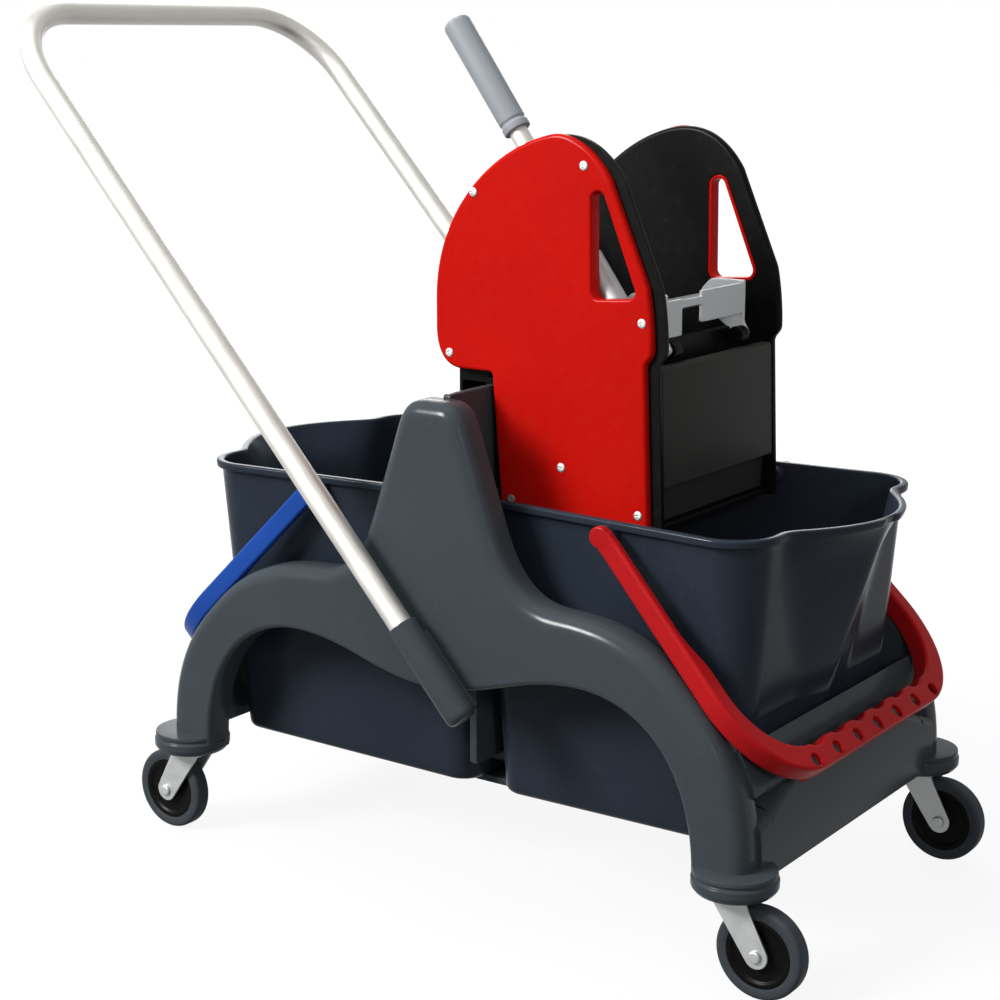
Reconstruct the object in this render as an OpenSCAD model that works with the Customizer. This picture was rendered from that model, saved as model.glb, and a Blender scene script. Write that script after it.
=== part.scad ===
// Double mop bucket trolley. A moulded chassis on four swivel castors carries two buckets,
// a press wringer over the front bucket and a push handle bent from one tube.
// Millimetres. +X points to the wringer end, -Y to the side with the lever, +Z up.
// The origin is on the floor, under the middle of the overall box.

/* [Castors] */
// Diameter of a wheel over its tyre
wheel_d = 80; // [70:1:90]
// Width of a tyre
wheel_w = 17; // [14:1:26]
// Diameter of the hub inside the tyre
hub_d = 60; // [46:1:64]
// Diameter of an axle
axle_d = 8; // [6:0.5:10]
// Distance from the swivel stem back to the axle
trail = 27; // [22:1:34]
// Diameter of a swivel stem
stem_d = 11; // [9:0.5:13]
// Thickness of the fork's steel strip
fork_t = 2.5; // [2:0.25:3.5]
// Width of a fork at its crown
fork_w = 38; // [32:1:44]

/* [Chassis] */
// Distance between the front and rear swivel stems
stem_span_x = 612; // [590:2:650]
// Distance between the near and far swivel stems
stem_span_y = 366; // [356:2:390]
// Thickness of a side panel
panel_t = 30; // [26:1:34]
// Wall of the moulded chassis pieces
chassis_wall = 4; // [3:0.5:5]
// Rounding along the outer edge of a side panel
panel_round = 9; // [6:0.5:10]
// Width of a leg
leg_w = 49; // [44:1:56]
// Height of the middle of the arch above the leg sockets' lower ends
arch_mid_h = 121; // [100:1:135]
// Height of the two arch crowns above the leg sockets' lower ends
arch_crown_h = 148.5; // [136:0.5:160]
// Height of the side panel's shoulders above the leg sockets' lower ends
shoulder_h = 210; // [195:1:214]
// Height of the hump in the middle above the leg sockets' lower ends
hump_h = 379; // [360:1:400]
// Diameter of a corner bumper
bumper_d = 72; // [60:1:80]
// Height of a corner bumper
bumper_h = 19; // [15:1:24]
// Height of the end shelf above the leg sockets' lower ends
shelf_h = 90; // [80:1:96]
// Thickness of the rails under the buckets
rail_t = 6; // [4:0.5:8]

/* [Push handle] */
// Diameter of the handle tube
tube_d = 22; // [18:0.5:25]
// Wall of the handle tube
tube_wall = 1.5; // [1:0.25:2.5]
// Length of the handle from the foot of its sockets to the middle of the cross bar
handle_len = 814.5; // [700:0.5:900]
// Lean of the handle from upright, in degrees
handle_lean = 42.2; // [38:0.1:44]
// Radius of the two bends, to the middle of the tube
handle_bend = 85; // [60:1:110]
// Length of a handle socket
socket_len = 101; // [80:1:120]

/* [Buckets] */
// Height of a bucket
bucket_h = 281.7; // [260:0.1:284]
// Wall of a bucket
bucket_wall = 3; // [2:0.5:4]
// How far the rolled rim stands out from the wall
rim_roll = 5; // [3:0.5:6]
// Height of the rolled rim's skirt
rim_skirt = 7; // [5:0.5:12]
// How much lower a bucket's floor is at the inner end than at the outer end
foot_fall = 12; // [0:0.5:14]
// Radius of a bucket's upright corners
bucket_round = 40; // [30:1:46]
// How far the pouring spout stands out at the rim
spout_out = 44; // [20:1:50]
// Height of the pouring spout, down from the rim
spout_drop = 175; // [120:1:200]

/* [Bails] */
// Distance from a bail's pivots to the middle of its grip
bail_len = 252; // [246:1:262]
// Thickness of a bail's legs, across the trolley
bail_t = 8; // [6:0.5:9]
// Depth of a bail, square to its flat side
bail_depth = 17; // [13:0.5:19]
// Depth of the grip, along its flat side
grip_depth = 24; // [22:1:28]
// Diameter of the holes in the grip
grip_hole = 11; // [8:0.5:13]
// Diameter of the studs that a bail turns on
bail_stud = 8; // [6:0.5:9]
// Slope of a bail at rest, in degrees below level
bail_slope = 45.7; // [44:0.1:47]

/* [Wringer] */
// Outside width over the red covers
wringer_w = 222; // [206:1:236]
// Thickness of a black inner plate
plate_t = 7; // [5:0.5:9]
// Thickness of a red cover
cover_t = 6.5; // [4:0.5:8]
// How far a cover's front edge is set back from the plate's
cover_set = 11; // [6:1:13]
// Height of the plates
plate_h = 340; // [325:1:350]
// Height of the saddle above the lower edge of the plates
saddle_h = 115.5; // [112:0.5:117]
// Thickness of the wringer's inner panels
inner_t = 4; // [3:0.5:5]
// Thickness of the press flap
flap_t = 6; // [4:0.5:7]
// Diameter of the flap's hinge pin
flap_pin_d = 8; // [6:0.5:9]
// Height of the front panel
front_panel_h = 105; // [80:1:107]
// Diameter of a cover screw's head
screw_head = 8; // [6:0.5:9]

/* [Lever] */
// Diameter of the shaft that the lever turns
shaft_d = 12; // [10:0.5:14]
// Length of the lever from the shaft to the end of its grip
lever_len = 306; // [302:1:322]
// Diameter of the lever tube
lever_tube_d = 17; // [14:0.5:18]
// Diameter of the lever's grip
lever_grip_d = 25; // [22:0.5:26]
// Length of the lever's grip
lever_grip_len = 116; // [100:1:118]
// Lean of the lever at rest from upright, in degrees
lever_lean = 35.8; // [34:0.1:37]

/* [Hidden] */
$fn = 48;

// Clearances: a turning fit on the radius, a space between moving pieces, a loose fit
run_fit = 0.05;
body_gap = 0.3;
seat_gap = 0.5;

// Colours as they show
grey = "#464c50";
dark_grey = "#28323c";
red = "#d4140c";
blue = "#2655b4";
black = "#20201e";
bright = "#c8cacc";
zinc = "#969891";
tyre_grey = "#464a50";
pale_grey = "#a0a5ac";

// Castor heights
crown_gap = 3;
crown_t = 3;
race_t = 1.7;
crown_z = wheel_d + crown_gap;
race_z = crown_z + crown_t;
base_z = race_z + race_t + body_gap;
fork_gap = 1.5;
fork_in = wheel_w / 2 + fork_gap;
boss_d = stem_d + 9;
boss_h = 36;
stem_h = 30;

// Chassis places
stem_x = stem_span_x / 2;
stem_y = stem_span_y / 2;
panel_out = stem_y + panel_t / 2;
panel_in = stem_y - panel_t / 2;
leg_z = base_z + bumper_h;
leg_out = stem_x + 15;
leg_in = leg_out - leg_w;
arch_mid_z = base_z + arch_mid_h;
arch_crown_z = base_z + arch_crown_h;
arch_crown_x = stem_x - 151;
shoulder_z = base_z + shoulder_h;
knee_in = 59;
shoulder_run = 127;
hump_z = base_z + hump_h;
hump_half = 36;
hump_flat = 12;
hump_brow = 21;
hump_foot = 66;
hump_rise = 62;
partition_t = 8;
partition_z0 = base_z + 30;
partition_z1 = hump_z + 3;
partition_z = arch_mid_z - 4;
partition_low = panel_in - 28;
rail_in = 40;
rail_w = 40;
rail_z = base_z + rail_t;
shelf_z = base_z + shelf_h;
field_t = 8;
wall_face = leg_out - field_t;
wall_back = wall_face - chassis_wall;

// Push handle places
socket_d = tube_d + 6;
socket_foot = 10;
handle_y = panel_out + socket_d / 2 + 7;
socket_at = [55, 0, base_z + 107];

// Bucket places: the rim's outer edge, then the wall
bucket_z0 = rail_z + body_gap;
rim_z = bucket_z0 + bucket_h;
rim_in = partition_t / 2 + 1.5;
rim_out = stem_x;
rim_half_out = panel_in - 4;
rim_half_in = rim_half_out - 18;
in_taper = 5;
out_taper = 21;
side_taper = 25;
foot_round = 8;
spout_keel = 30;
spout_half = 60;
foot_in = rim_in + rim_roll + in_taper;
foot_out = rim_out - rim_roll - out_taper;

// Bail places
bail_off = 4.25;
bail_drop = 12;
bail_at = [(rim_in + rim_out) / 2 + bail_off, 0, rim_z - bail_drop];
bail_foot_y = panel_out - 5;
bail_pivot_y = bail_foot_y - 27;
bail_bend = 71;
eye_d = bail_stud + 12;
eye_run = eye_d * 0.7;
ear_d = 18;

// The side panel's knee lies under the leg of the bail
knee_gap = 1.2;
knee_x = leg_out - knee_in;
knee = [
    knee_x,
    bail_at[2] - (knee_x - bail_at[0]) * tan(bail_slope) - bail_depth / 2 / cos(bail_slope) - knee_gap
];

// Wringer places: the plates' lower edge is at height wringer_z
wringer_z = partition_z1 + seat_gap - saddle_h;
cover_out = wringer_w / 2;
cover_in = cover_out - cover_t;
plate_in = cover_in - plate_t;
plate_front = 184;
plate_back = 17.5;
plate_rear = -55;
step_in = 10.5;
overhang_h = 12.5;
ledge_z = saddle_h + overhang_h;
front_lean = 6;
step_z = ledge_z + 18;
nose_z = ledge_z + 32;
cheek_z = ledge_z + 87;
brow_run = 43;
brow_drop = 37;
crown_run = 102;
rear_z = ledge_z + 62;
rear_round = 37;
tail_run = 28;
shaft_at = [plate_front - 55, ledge_z + 58];
flap_axis = [plate_front - 24, 25];
flap_set = 7.5;
tongue_h = 22;
grid_z = 1;
grid_t = 5;
hole_round = 7;
collar_t = 3;
collar_depth = 1;
screw_shank = 3.4;
screw_head_t = 1.6;

// Lever places
arm_in = plate_in - 31;
arm_t = 5;
stud_r = 46;
stud_angle = -42;
stud_d = 16;
stud_len = 14;
stud_at = shaft_at + stud_r * [cos(stud_angle), sin(stud_angle)];
flap_top = stud_at[1] + 6.8;
flap_shoulder = flap_top - tongue_h;
strap_x = shaft_at[0] + 31;
strap_t = 3;
lever_hub_d = shaft_d + 14;
lever_hub_w = 17;
lever_socket_d = lever_tube_d + 5;
lever_tube_wall = 1.5;
lever_socket_len = 60;
lever_y = -(plate_in - collar_depth - seat_gap - lever_socket_d / 2);

// The middle of the overall box, from the cross bar's back to the front tyres
rear_end = socket_at[0] - handle_len * sin(handle_lean) - tube_d / 2;
front_end = stem_x + trail + wheel_d / 2;
ref_x = -(rear_end + front_end) / 2;

CORNERS = [["front_near", 1, -1], ["front_far", 1, 1], ["rear_near", -1, -1], ["rear_far", -1, 1]];

// Helpers

// A cubic curve from a to d, without its first point
function curve(a, b, c, d, n) = [
    for (i = [1:n])
        let (t = i / n, s = 1 - t)
        a * s * s * s + 3 * b * s * s * t + 3 * c * s * t * t + d * t * t * t
];

// A cubic curve from a to d whose two pulls are given as shares of the way along each axis
function bend(a, d, f, g, n) =
    let (v = d - a)
    curve(a, a + [f[0] * v[0], f[1] * v[1]], a + [g[0] * v[0], g[1] * v[1]], d, n);

function unit(v) = v / norm(v);

function turn_left(v) = [-v[1], v[0]];

// A closed outline, counter-clockwise, moved inwards by d
function inset(p, d) = [
    for (i = [0:len(p) - 1])
        let (
            a = p[(i + len(p) - 1) % len(p)],
            b = p[i],
            c = p[(i + 1) % len(p)],
            m = turn_left(unit(b - a)),
            n = turn_left(unit(c - b))
        )
        b + d * (m + n) / (1 + m * n)
];

// Arc points about a centre
function arc(c, r, a0, a1, n) = [for (i = [0:n]) let (a = a0 + (a1 - a0) * i / n) c + r * [cos(a), sin(a)]];

// The outline around circles of radius r on the corners of a convex counter-clockwise shape
function around(p, r, n) = [
    for (i = [0:len(p) - 1])
        let (
            m = -turn_left(p[i] - p[(i + len(p) - 1) % len(p)]),
            k = -turn_left(p[(i + 1) % len(p)] - p[i]),
            a0 = atan2(m[1], m[0]),
            a1 = atan2(k[1], k[0])
        )
        each arc(p[i], r, a0, a1 < a0 ? a1 + 360 : a1, n)
];

// Side faces that join rings of n points each
function ring_sides(rings, n) = [
    for (k = [0:rings - 2]) for (i = [0:n - 1])
        [k * n + i, k * n + (i + 1) % n, (k + 1) * n + (i + 1) % n, (k + 1) * n + i]
];

// The same with a flat first and last face
function ring_faces(rings, n) = concat(
    [[for (i = [n - 1:-1:0]) i]],
    ring_sides(rings, n),
    [[for (i = [0:n - 1]) (rings - 1) * n + i]]
);

// A piece in its colour and place
module piece(c) {
    color(c)
    translate([ref_x, 0, 0])
    children();
}

module both_sides() {
    children();
    mirror([0, 1, 0])
    children();
}

// A flat shape drawn in X and Z, spread from y0 to y1
module across(y0, y1) {
    translate([0, y1, 0])
    rotate([90, 0, 0])
    linear_extrude(y1 - y0)
    children();
}

// A round bar along Y
module rod(x, z, d, y0, y1) {
    translate([x, y0, z])
    rotate([-90, 0, 0])
    cylinder(d = d, h = y1 - y0);
}

module box(lo, hi) {
    translate(lo)
    cube(hi - lo);
}

// Chassis

// Lower edge of half a side panel, from the middle of the arch to the leg
panel_lower = concat(
    [[0, arch_mid_z]],
    bend([0, arch_mid_z], [arch_crown_x, arch_crown_z], [0.39, 0], [0.61, 1], 11),
    bend([arch_crown_x, arch_crown_z], [leg_in, leg_z], [0.556, 0], [0.966, 0.355], 12)
);

// Upper edge of half a side panel, from the leg to the top of the hump, with as many points
shoulder = [knee[0] - shoulder_run, shoulder_z];
hump_side = [hump_foot, shoulder_z + hump_rise];
hump_edge = [hump_half, hump_z - hump_brow];
panel_upper = concat(
    [[leg_out, leg_z]],
    bend([leg_out, leg_z], knee, [0, 0.48], [0.42, 0.77], 7),
    bend(knee, shoulder, [0.29, 0.72], [0.57, 0.98], 5),
    bend(shoulder, hump_side, [0.51, 0.01], [0.8, 0.355], 5),
    [hump_edge],
    bend(hump_edge, [hump_flat, hump_z], [0.21, 0.67], [0.5, 1], 4),
    [[0, hump_z]]
);

panel_half = concat(panel_lower, panel_upper);
panel_outline = concat(
    panel_half,
    [for (i = [len(panel_half) - 2:-1:1]) [-panel_half[i][0], panel_half[i][1]]]
);

// A flat face over the panel's outline: quads between facing points of the lower and upper edges
panel_face =
    let (
        n = len(panel_outline),
        h = n / 2
    )
    [
        for (s = [0, h]) for (i = [0:len(panel_lower) - 2])
            let (a = s + i)
            [a, a + 1, (h - a - 1 + n) % n, (h - a + n) % n]
    ];

function flipped(f) = [f[3], f[2], f[1], f[0]];

// Each ring of the panel: how far in from the outline, how deep from the outer face
panel_rings = concat(
    [for (a = [0:30:90]) panel_round * [1 - sin(a), 1 - cos(a)]],
    [[0, panel_t], [chassis_wall, panel_t], [chassis_wall, chassis_wall]]
);

// A side panel: a tray, open towards the buckets, with a rounded outer edge
module side_panel() {
    n = len(panel_outline);
    last = n * (len(panel_rings) - 1);
    difference() {
        polyhedron(
            [for (r = panel_rings) for (p = inset(panel_outline, r[0])) [p[0], r[1] - panel_out, p[1]]],
            concat(
                [for (f = panel_face) flipped(f)],
                ring_sides(len(panel_rings), n),
                [for (f = panel_face) [for (i = f) i + last]]
            ),
            convexity = 8
        );
        for (x = [-stem_x, stem_x])
            translate([x, -stem_y, leg_z - 1])
            cylinder(d = boss_d + body_gap, h = chassis_wall + 2);
    }
}

module side_panel_near() {
    piece(grey)
    side_panel();
}

module side_panel_far() {
    piece(grey)
    mirror([0, 1, 0])
    side_panel();
}

// An end wall: a plate with a raised field, a shelf at its top and a rib beside each leg.
// Its foot is narrower, to stand between the corner bumpers.
module end_wall() {
    foot_half = stem_y - bumper_d / 2 - 2;
    field_z0 = base_z + 13;
    field_z1 = base_z + 49;
    top_half = foot_half - 45;
    rib_w = 6;
    rib_z1 = base_z + 62;
    shelf_edge = rim_out - rim_roll - out_taper * (rim_z - shelf_z) / bucket_h + 2;
    translate([wall_back, 0, 0])
    rotate([90, 0, 90]) {
        linear_extrude(chassis_wall) {
            translate([-panel_in, leg_z])
            square([2 * panel_in, shelf_z - leg_z]);
            translate([-foot_half, rail_z])
            square([2 * foot_half, shelf_z - rail_z]);
        }
        linear_extrude(leg_out - wall_back)
        polygon([
            [-foot_half, field_z0], [foot_half, field_z0], [foot_half, field_z1], [top_half, shelf_z],
            [-top_half, shelf_z], [-foot_half, field_z1]
        ]);
    }
    box([shelf_edge, -panel_in, shelf_z - chassis_wall], [wall_back, panel_in, shelf_z]);
    both_sides()
    box([wall_back, panel_in - rib_w, leg_z], [leg_out - chassis_wall, panel_in, rib_z1]);
}

module end_wall_front() {
    piece(grey)
    end_wall();
}

module end_wall_rear() {
    piece(grey)
    mirror([1, 0, 0])
    end_wall();
}

// The centre wall, narrower below the side panels
module partition() {
    piece(grey)
    translate([-partition_t / 2, 0, 0])
    rotate([90, 0, 90])
    linear_extrude(partition_t)
    polygon([
        [-partition_low, partition_z0], [partition_low, partition_z0], [partition_low, partition_z],
        [panel_in, partition_z], [panel_in, partition_z1], [-panel_in, partition_z1], [-panel_in, partition_z],
        [-partition_low, partition_z]
    ]);
}

// How far a bucket's floor is above its middle height at distance x from the centre wall
function foot_rise(x) = foot_fall * ((x - foot_in) / (foot_out - foot_in) - 0.5);

// Two rails under the buckets, from end wall to end wall, that fall to the middle
module floor_rails() {
    flat = 30;
    low = rail_z + foot_rise(0);
    high = rail_z + foot_rise(wall_back);
    piece(grey)
    both_sides()
    across(rail_in, rail_in + rail_w)
    polygon([
        [wall_back, high], [0, low], [-wall_back, high], [-wall_back, high - rail_t], [-flat, low - rail_t],
        [flat, low - rail_t], [wall_back, high - rail_t]
    ]);
}

module leg_sockets() {
    piece(black)
    for (c = CORNERS)
        translate([c[1] * stem_x, c[2] * stem_y, base_z])
        difference() {
            cylinder(d = boss_d, h = boss_h);
            translate([0, 0, -1])
            cylinder(d = stem_d + 2 * run_fit, h = stem_h + 4);
        }
}

module corner_bumpers() {
    edge = 5;
    r = bumper_d / 2;
    bore = (boss_d + body_gap) / 2;
    piece(grey)
    for (c = CORNERS)
        translate([c[1] * stem_x, c[2] * stem_y, base_z])
        rotate_extrude()
        polygon([
            [bore, 0], [r - edge, 0], [r, edge], [r, bumper_h - edge], [r - edge, bumper_h], [bore, bumper_h]
        ]);
}

// Push handle, drawn upright from the foot of its sockets and then leaned back

module leaned() {
    translate(socket_at)
    rotate([0, -handle_lean, 0])
    children();
}

module tube_section() {
    difference() {
        circle(d = tube_d);
        circle(d = tube_d - 2 * tube_wall);
    }
}

module handle_tube() {
    bar_half = handle_y - handle_bend;
    piece(bright)
    leaned() {
        both_sides() {
            translate([0, handle_y, socket_foot])
            linear_extrude(handle_len - handle_bend - socket_foot)
            tube_section();
            translate([0, bar_half, handle_len - handle_bend])
            rotate([90, 0, 90])
            rotate_extrude(angle = 90)
            translate([handle_bend, 0])
            tube_section();
        }
        translate([0, bar_half, handle_len])
        rotate([90, 0, 0])
        linear_extrude(2 * bar_half)
        tube_section();
    }
}

module handle_sockets() {
    web_w = 18;
    web_len = socket_len - 14;
    piece(grey)
    leaned()
    both_sides()
    difference() {
        union() {
            translate([0, handle_y, 0])
            cylinder(d = socket_d, h = socket_len);
            box([-web_w / 2, panel_out, 4], [web_w / 2, handle_y, 4 + web_len]);
        }
        translate([0, handle_y, socket_foot])
        cylinder(d = tube_d + 2 * run_fit, h = socket_len);
    }
}

// Buckets

// A straight rise from 0, eased in at its foot
function eased(u) = u > 0.25 ? u : u < -0.25 ? 0 : pow(u + 0.25, 2);

// How far the spout stands out at height z and distance y from the middle: straight flanks and a rounded keel
function spout(z, y) =
    let (
        q = max(0, (z - rim_z + spout_drop) / spout_drop),
        t = abs(y) / (spout_keel + spout_half * q),
        keel = 0.1
    )
    spout_out * q * eased(1 + keel - sqrt(t * t + keel * keel));

// One ring of the bucket at middle height z, clockwise from above, its wall moved in by o
function bucket_ring(z, o) =
    let (
        f = (rim_z - z) / bucket_h,
        x0 = rim_in + rim_roll + in_taper * f,
        x1 = rim_out - rim_roll - out_taper * f,
        w0 = rim_half_in - rim_roll - side_taper * f,
        w1 = rim_half_out - rim_roll - side_taper * f,
        k = bucket_round,
        r = k - o,
        n = 4,
        m = 24
    )
    [
        for (p = concat(
            arc([x0 + k, k - w0], r, 180, 270, n),
            arc([x1 - k, k - w1], r, 270, 360, n),
            [for (i = [1:m - 1]) [x1 - o, (k - w1) * (1 - 2 * i / m)]],
            arc([x1 - k, w1 - k], r, 0, 90, n),
            arc([x0 + k, w0 - k], r, 90, 180, n)
        ))
        [p[0] + (p[0] > x1 - k ? spout(z, p[1]) : 0), -p[1], z + f * foot_rise(p[0])]
    ];

// Height and inward step of each ring: outside from the foot to the rim, then down the inside
bucket_levels = concat(
    [for (a = [0:30:90]) [bucket_z0 + foot_round * (1 - cos(a)), foot_round * (1 - sin(a))]],
    [for (f = [0.25, 0.5, 0.75]) [bucket_z0 + f * (bucket_h - rim_skirt), 0]],
    [
        [rim_z - rim_skirt, 0], [rim_z - rim_skirt - 1, 1 - rim_roll], [rim_z - rim_skirt + 1, -rim_roll],
        [rim_z - 3, -rim_roll], [rim_z - 1, 1 - rim_roll], [rim_z, 3 - rim_roll],
        [rim_z, bucket_wall - 1], [rim_z - 1, bucket_wall]
    ],
    [for (f = [0.75, 0.5, 0.25]) [bucket_z0 + f * (bucket_h - rim_skirt), bucket_wall]],
    [for (a = [90:-45:0])
        [bucket_z0 + bucket_wall + foot_round * (1 - cos(a)), bucket_wall + foot_round * (1 - sin(a))]]
);

// The side wall's outer face at the bail's height
bail_wall_y = rim_half_in - rim_roll
    + (rim_half_out - rim_half_in) * (bail_at[0] - rim_in) / (rim_out - rim_in)
    - side_taper * (rim_z - bail_at[2]) / bucket_h;
eye_in = bail_pivot_y - bail_t / 2;

module bucket() {
    rings = [for (l = bucket_levels) bucket_ring(l[0], l[1])];
    difference() {
        union() {
            polyhedron(
                [for (r = rings) each r],
                ring_faces(len(rings), len(rings[0])),
                convexity = 8
            );
            both_sides()
            rod(bail_at[0], bail_at[2], ear_d, bail_wall_y - bucket_wall / 2, eye_in - body_gap);
        }
        both_sides()
        rod(bail_at[0], bail_at[2], bail_stud + 2 * run_fit, bail_wall_y - 2 * bucket_wall, eye_in);
    }
}

// Studs in the bucket's ears, with a head outside the bail's eye
module bail_studs() {
    head_t = 3;
    eye_out = bail_pivot_y + bail_t / 2 + body_gap;
    both_sides() {
        rod(bail_at[0], bail_at[2], bail_stud, bail_wall_y - bucket_wall / 2, eye_out + head_t);
        rod(bail_at[0], bail_at[2], bail_stud + 6, eye_out, eye_out + head_t);
    }
}

// Half of a bail's outline, from a pivot to the middle of the grip, with both faces moved by d
function bail_half(d, grip_d) =
    let (
        c = [bail_len - bail_bend, bail_foot_y - bail_bend],
        lean = atan((bail_foot_y - bail_pivot_y) / (bail_len - bail_bend - eye_run))
    )
    concat(
        [[0, bail_pivot_y + d], [eye_run, bail_pivot_y + d]],
        [for (i = [0:8])
            let (a = 90 + lean - (90 + lean) * i / 8, t = i / 8)
            c + (bail_bend + d * (1 - t) + grip_d * t) * [cos(a), sin(a)]]
    );

function mirror_half(p) = [for (i = [len(p) - 1:-1:0]) [p[i][0], -p[i][1]]];

// A bail: a flat U with a deeper grip, holes in the grip and hollows for the fingers
module bail() {
    holes = 7;
    pitch = 36;
    finger_r = 20;
    finger_cut = 4;
    finger_x = bail_len - grip_depth / 2 - finger_r + finger_cut;
    outer = bail_half(bail_t / 2, grip_depth / 2);
    inner = bail_half(-bail_t / 2, -grip_depth / 2);
    translate(bail_at)
    rotate([0, bail_slope, 0])
    difference() {
        union() {
            translate([0, 0, -bail_depth / 2])
            linear_extrude(bail_depth)
            difference() {
                polygon(concat(outer, mirror_half(outer)));
                polygon(concat(inner, mirror_half(inner)));
                for (i = [0:holes - 2])
                    translate([finger_x, (i - (holes - 2) / 2) * pitch])
                    circle(r = finger_r);
            }
            both_sides()
            rod(0, 0, eye_d, bail_pivot_y - bail_t / 2, bail_pivot_y + bail_t / 2);
        }
        both_sides()
        rod(0, 0, bail_stud + 2 * run_fit, bail_pivot_y - bail_t, bail_pivot_y + bail_t);
        for (i = [0:holes - 1])
            translate([bail_len + finger_cut / 2, (i - (holes - 1) / 2) * pitch, -bail_depth])
            cylinder(d = grip_hole, h = 2 * bail_depth);
    }
}

module bucket_red() {
    piece(dark_grey)
    bucket();
}

module bail_studs_red() {
    piece(black)
    bail_studs();
}

module bail_red() {
    piece(red)
    bail();
}

module bucket_blue() {
    piece(dark_grey)
    mirror([1, 0, 0])
    bucket();
}

module bail_studs_blue() {
    piece(black)
    mirror([1, 0, 0])
    bail_studs();
}

module bail_blue() {
    piece(blue)
    mirror([1, 0, 0])
    bail();
}

// Wringer, drawn from the plates' lower edge up

// Outline of the plates and covers, counter-clockwise from the lower back corner
brow = [plate_front - brow_run, plate_h - brow_drop];
crown = [plate_front - crown_run, plate_h];
nose = [plate_front + 1, nose_z];
cheek = [plate_front - 5, cheek_z];
plate_outline = concat(
    [[plate_back, 0], [plate_front, 0], [plate_front - front_lean, step_z]],
    bend([plate_front - front_lean, step_z], nose, [0.1, 0.4], [0.9, 0.5], 4),
    bend(nose, cheek, [0, 0.4], [0.55, 0.8], 6),
    [brow],
    bend(brow, crown, [0.21, 0.53], [0.54, 1], 6),
    bend(crown, [plate_rear, rear_z], [0.37, 0], [1, 0.36], 14),
    bend([plate_rear, ledge_z + rear_round], [plate_rear + tail_run, ledge_z], [0, 0.62], [0.36, 1], 5),
    [[plate_back - step_in, ledge_z], [plate_back - step_in + 1, ledge_z - 5], [plate_back, 8]]
);

// Corner circles of the hand hole, which clears the lever's shaft
hole_corners = [
    [plate_front - 65, shaft_at[1] + 22],
    [plate_front - 35, shaft_at[1] + 24],
    [plate_front - 66, plate_h - 54]
];

screw_places = [
    [plate_rear + 43, plate_h - 53], [plate_front - 80, plate_h - 26], [plate_front - 20, shaft_at[1] - 2],
    [plate_rear + 16, ledge_z + 14], [plate_front - 21, 17], [plate_back + 12, 15], [plate_front - 101, 50]
];

module wringer_piece(c) {
    piece(c)
    translate([0, 0, wringer_z])
    children();
}

module screw_holes(y0, y1) {
    for (p = screw_places)
        rod(p[0], p[1], screw_shank + 2 * run_fit, y0, y1);
}

// A black plate at the far side, with bores for the lever's shaft and the flap's pin
module inner_plate() {
    difference() {
        across(plate_in, cover_in)
        difference() {
            polygon(plate_outline);
            polygon(around(hole_corners, hole_round + collar_t + body_gap, 6));
        }
        rod(shaft_at[0], shaft_at[1], shaft_d + 2 * run_fit, plate_in - 1, cover_in + 1);
        rod(flap_axis[0], flap_axis[1], flap_pin_d + 2 * run_fit, plate_in - 1, cover_in + 1);
        screw_holes(plate_in - 1, cover_in + 1);
    }
}

// A red cover at the far side, set back at the front, with the collar that lines the hand hole
module cover() {
    difference() {
        union() {
            across(cover_in, cover_out)
            intersection() {
                polygon(plate_outline);
                translate([-cover_set, 0])
                polygon(plate_outline);
            }
            across(plate_in - collar_depth, cover_in)
            polygon(around(hole_corners, hole_round + collar_t, 6));
        }
        across(plate_in - 2 * collar_depth, cover_out + 1)
        polygon(around(hole_corners, hole_round, 6));
        screw_holes(cover_in - 1, cover_out + 1);
    }
}

module inner_plate_near() {
    wringer_piece(black)
    mirror([0, 1, 0])
    inner_plate();
}

module inner_plate_far() {
    wringer_piece(black)
    inner_plate();
}

module cover_near() {
    wringer_piece(red)
    mirror([0, 1, 0])
    cover();
}

module cover_far() {
    wringer_piece(red)
    cover();
}

module cover_screws() {
    wringer_piece(bright)
    both_sides()
    for (p = screw_places) {
        rod(p[0], p[1], screw_shank, plate_in + 1, cover_out);
        rod(p[0], p[1], screw_head, cover_out, cover_out + screw_head_t);
    }
}

// Front panel between the plates, leaning with their front edges, with a lip turned in at its top
module front_panel() {
    z1 = step_z - 1;
    z0 = z1 - front_panel_h;
    x0 = plate_front - 1 - front_lean * z0 / step_z;
    x1 = plate_front - 1 - front_lean * z1 / step_z;
    lip = 6;
    wringer_piece(black)
    across(-plate_in, plate_in)
    polygon([
        [x0 - inner_t, z0], [x0, z0], [x1, z1], [x1 - inner_t - lip, z1], [x1 - inner_t - lip, z1 - inner_t],
        [x1 - inner_t, z1 - inner_t]
    ]);
}

// Back of the wringer: a sloped lower part, a ledge and an upright upper part
module back_plate() {
    z0 = grid_z + grid_t;
    top = plate_h - 85;
    rear = plate_rear + 7;
    step = plate_back - step_in + 0.5;
    wringer_piece(black)
    across(-plate_in, plate_in)
    polygon([
        [plate_back + 0.5, z0], [plate_back + 0.5 + inner_t, z0], [step + inner_t, ledge_z + inner_t],
        [rear + inner_t, ledge_z + inner_t], [rear + inner_t, top], [rear, top], [rear, ledge_z],
        [step, ledge_z]
    ]);
}

// The hook that hangs the wringer on the centre wall
module saddle() {
    hook_x = -(partition_t / 2 + seat_gap);
    rear = plate_rear + 17;
    drop = 18;
    lap = 5;
    wringer_piece(black)
    across(-plate_in, plate_in)
    polygon([
        [rear, saddle_h - drop], [rear + inner_t, saddle_h - drop], [rear + inner_t, saddle_h],
        [hook_x - inner_t, saddle_h], [hook_x - inner_t, saddle_h - drop], [hook_x, saddle_h - drop],
        [hook_x, saddle_h], [partition_t / 2, saddle_h], [partition_t / 2, saddle_h + lap],
        [hook_x, saddle_h + lap], [hook_x, ledge_z], [rear, ledge_z]
    ]);
}

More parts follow.
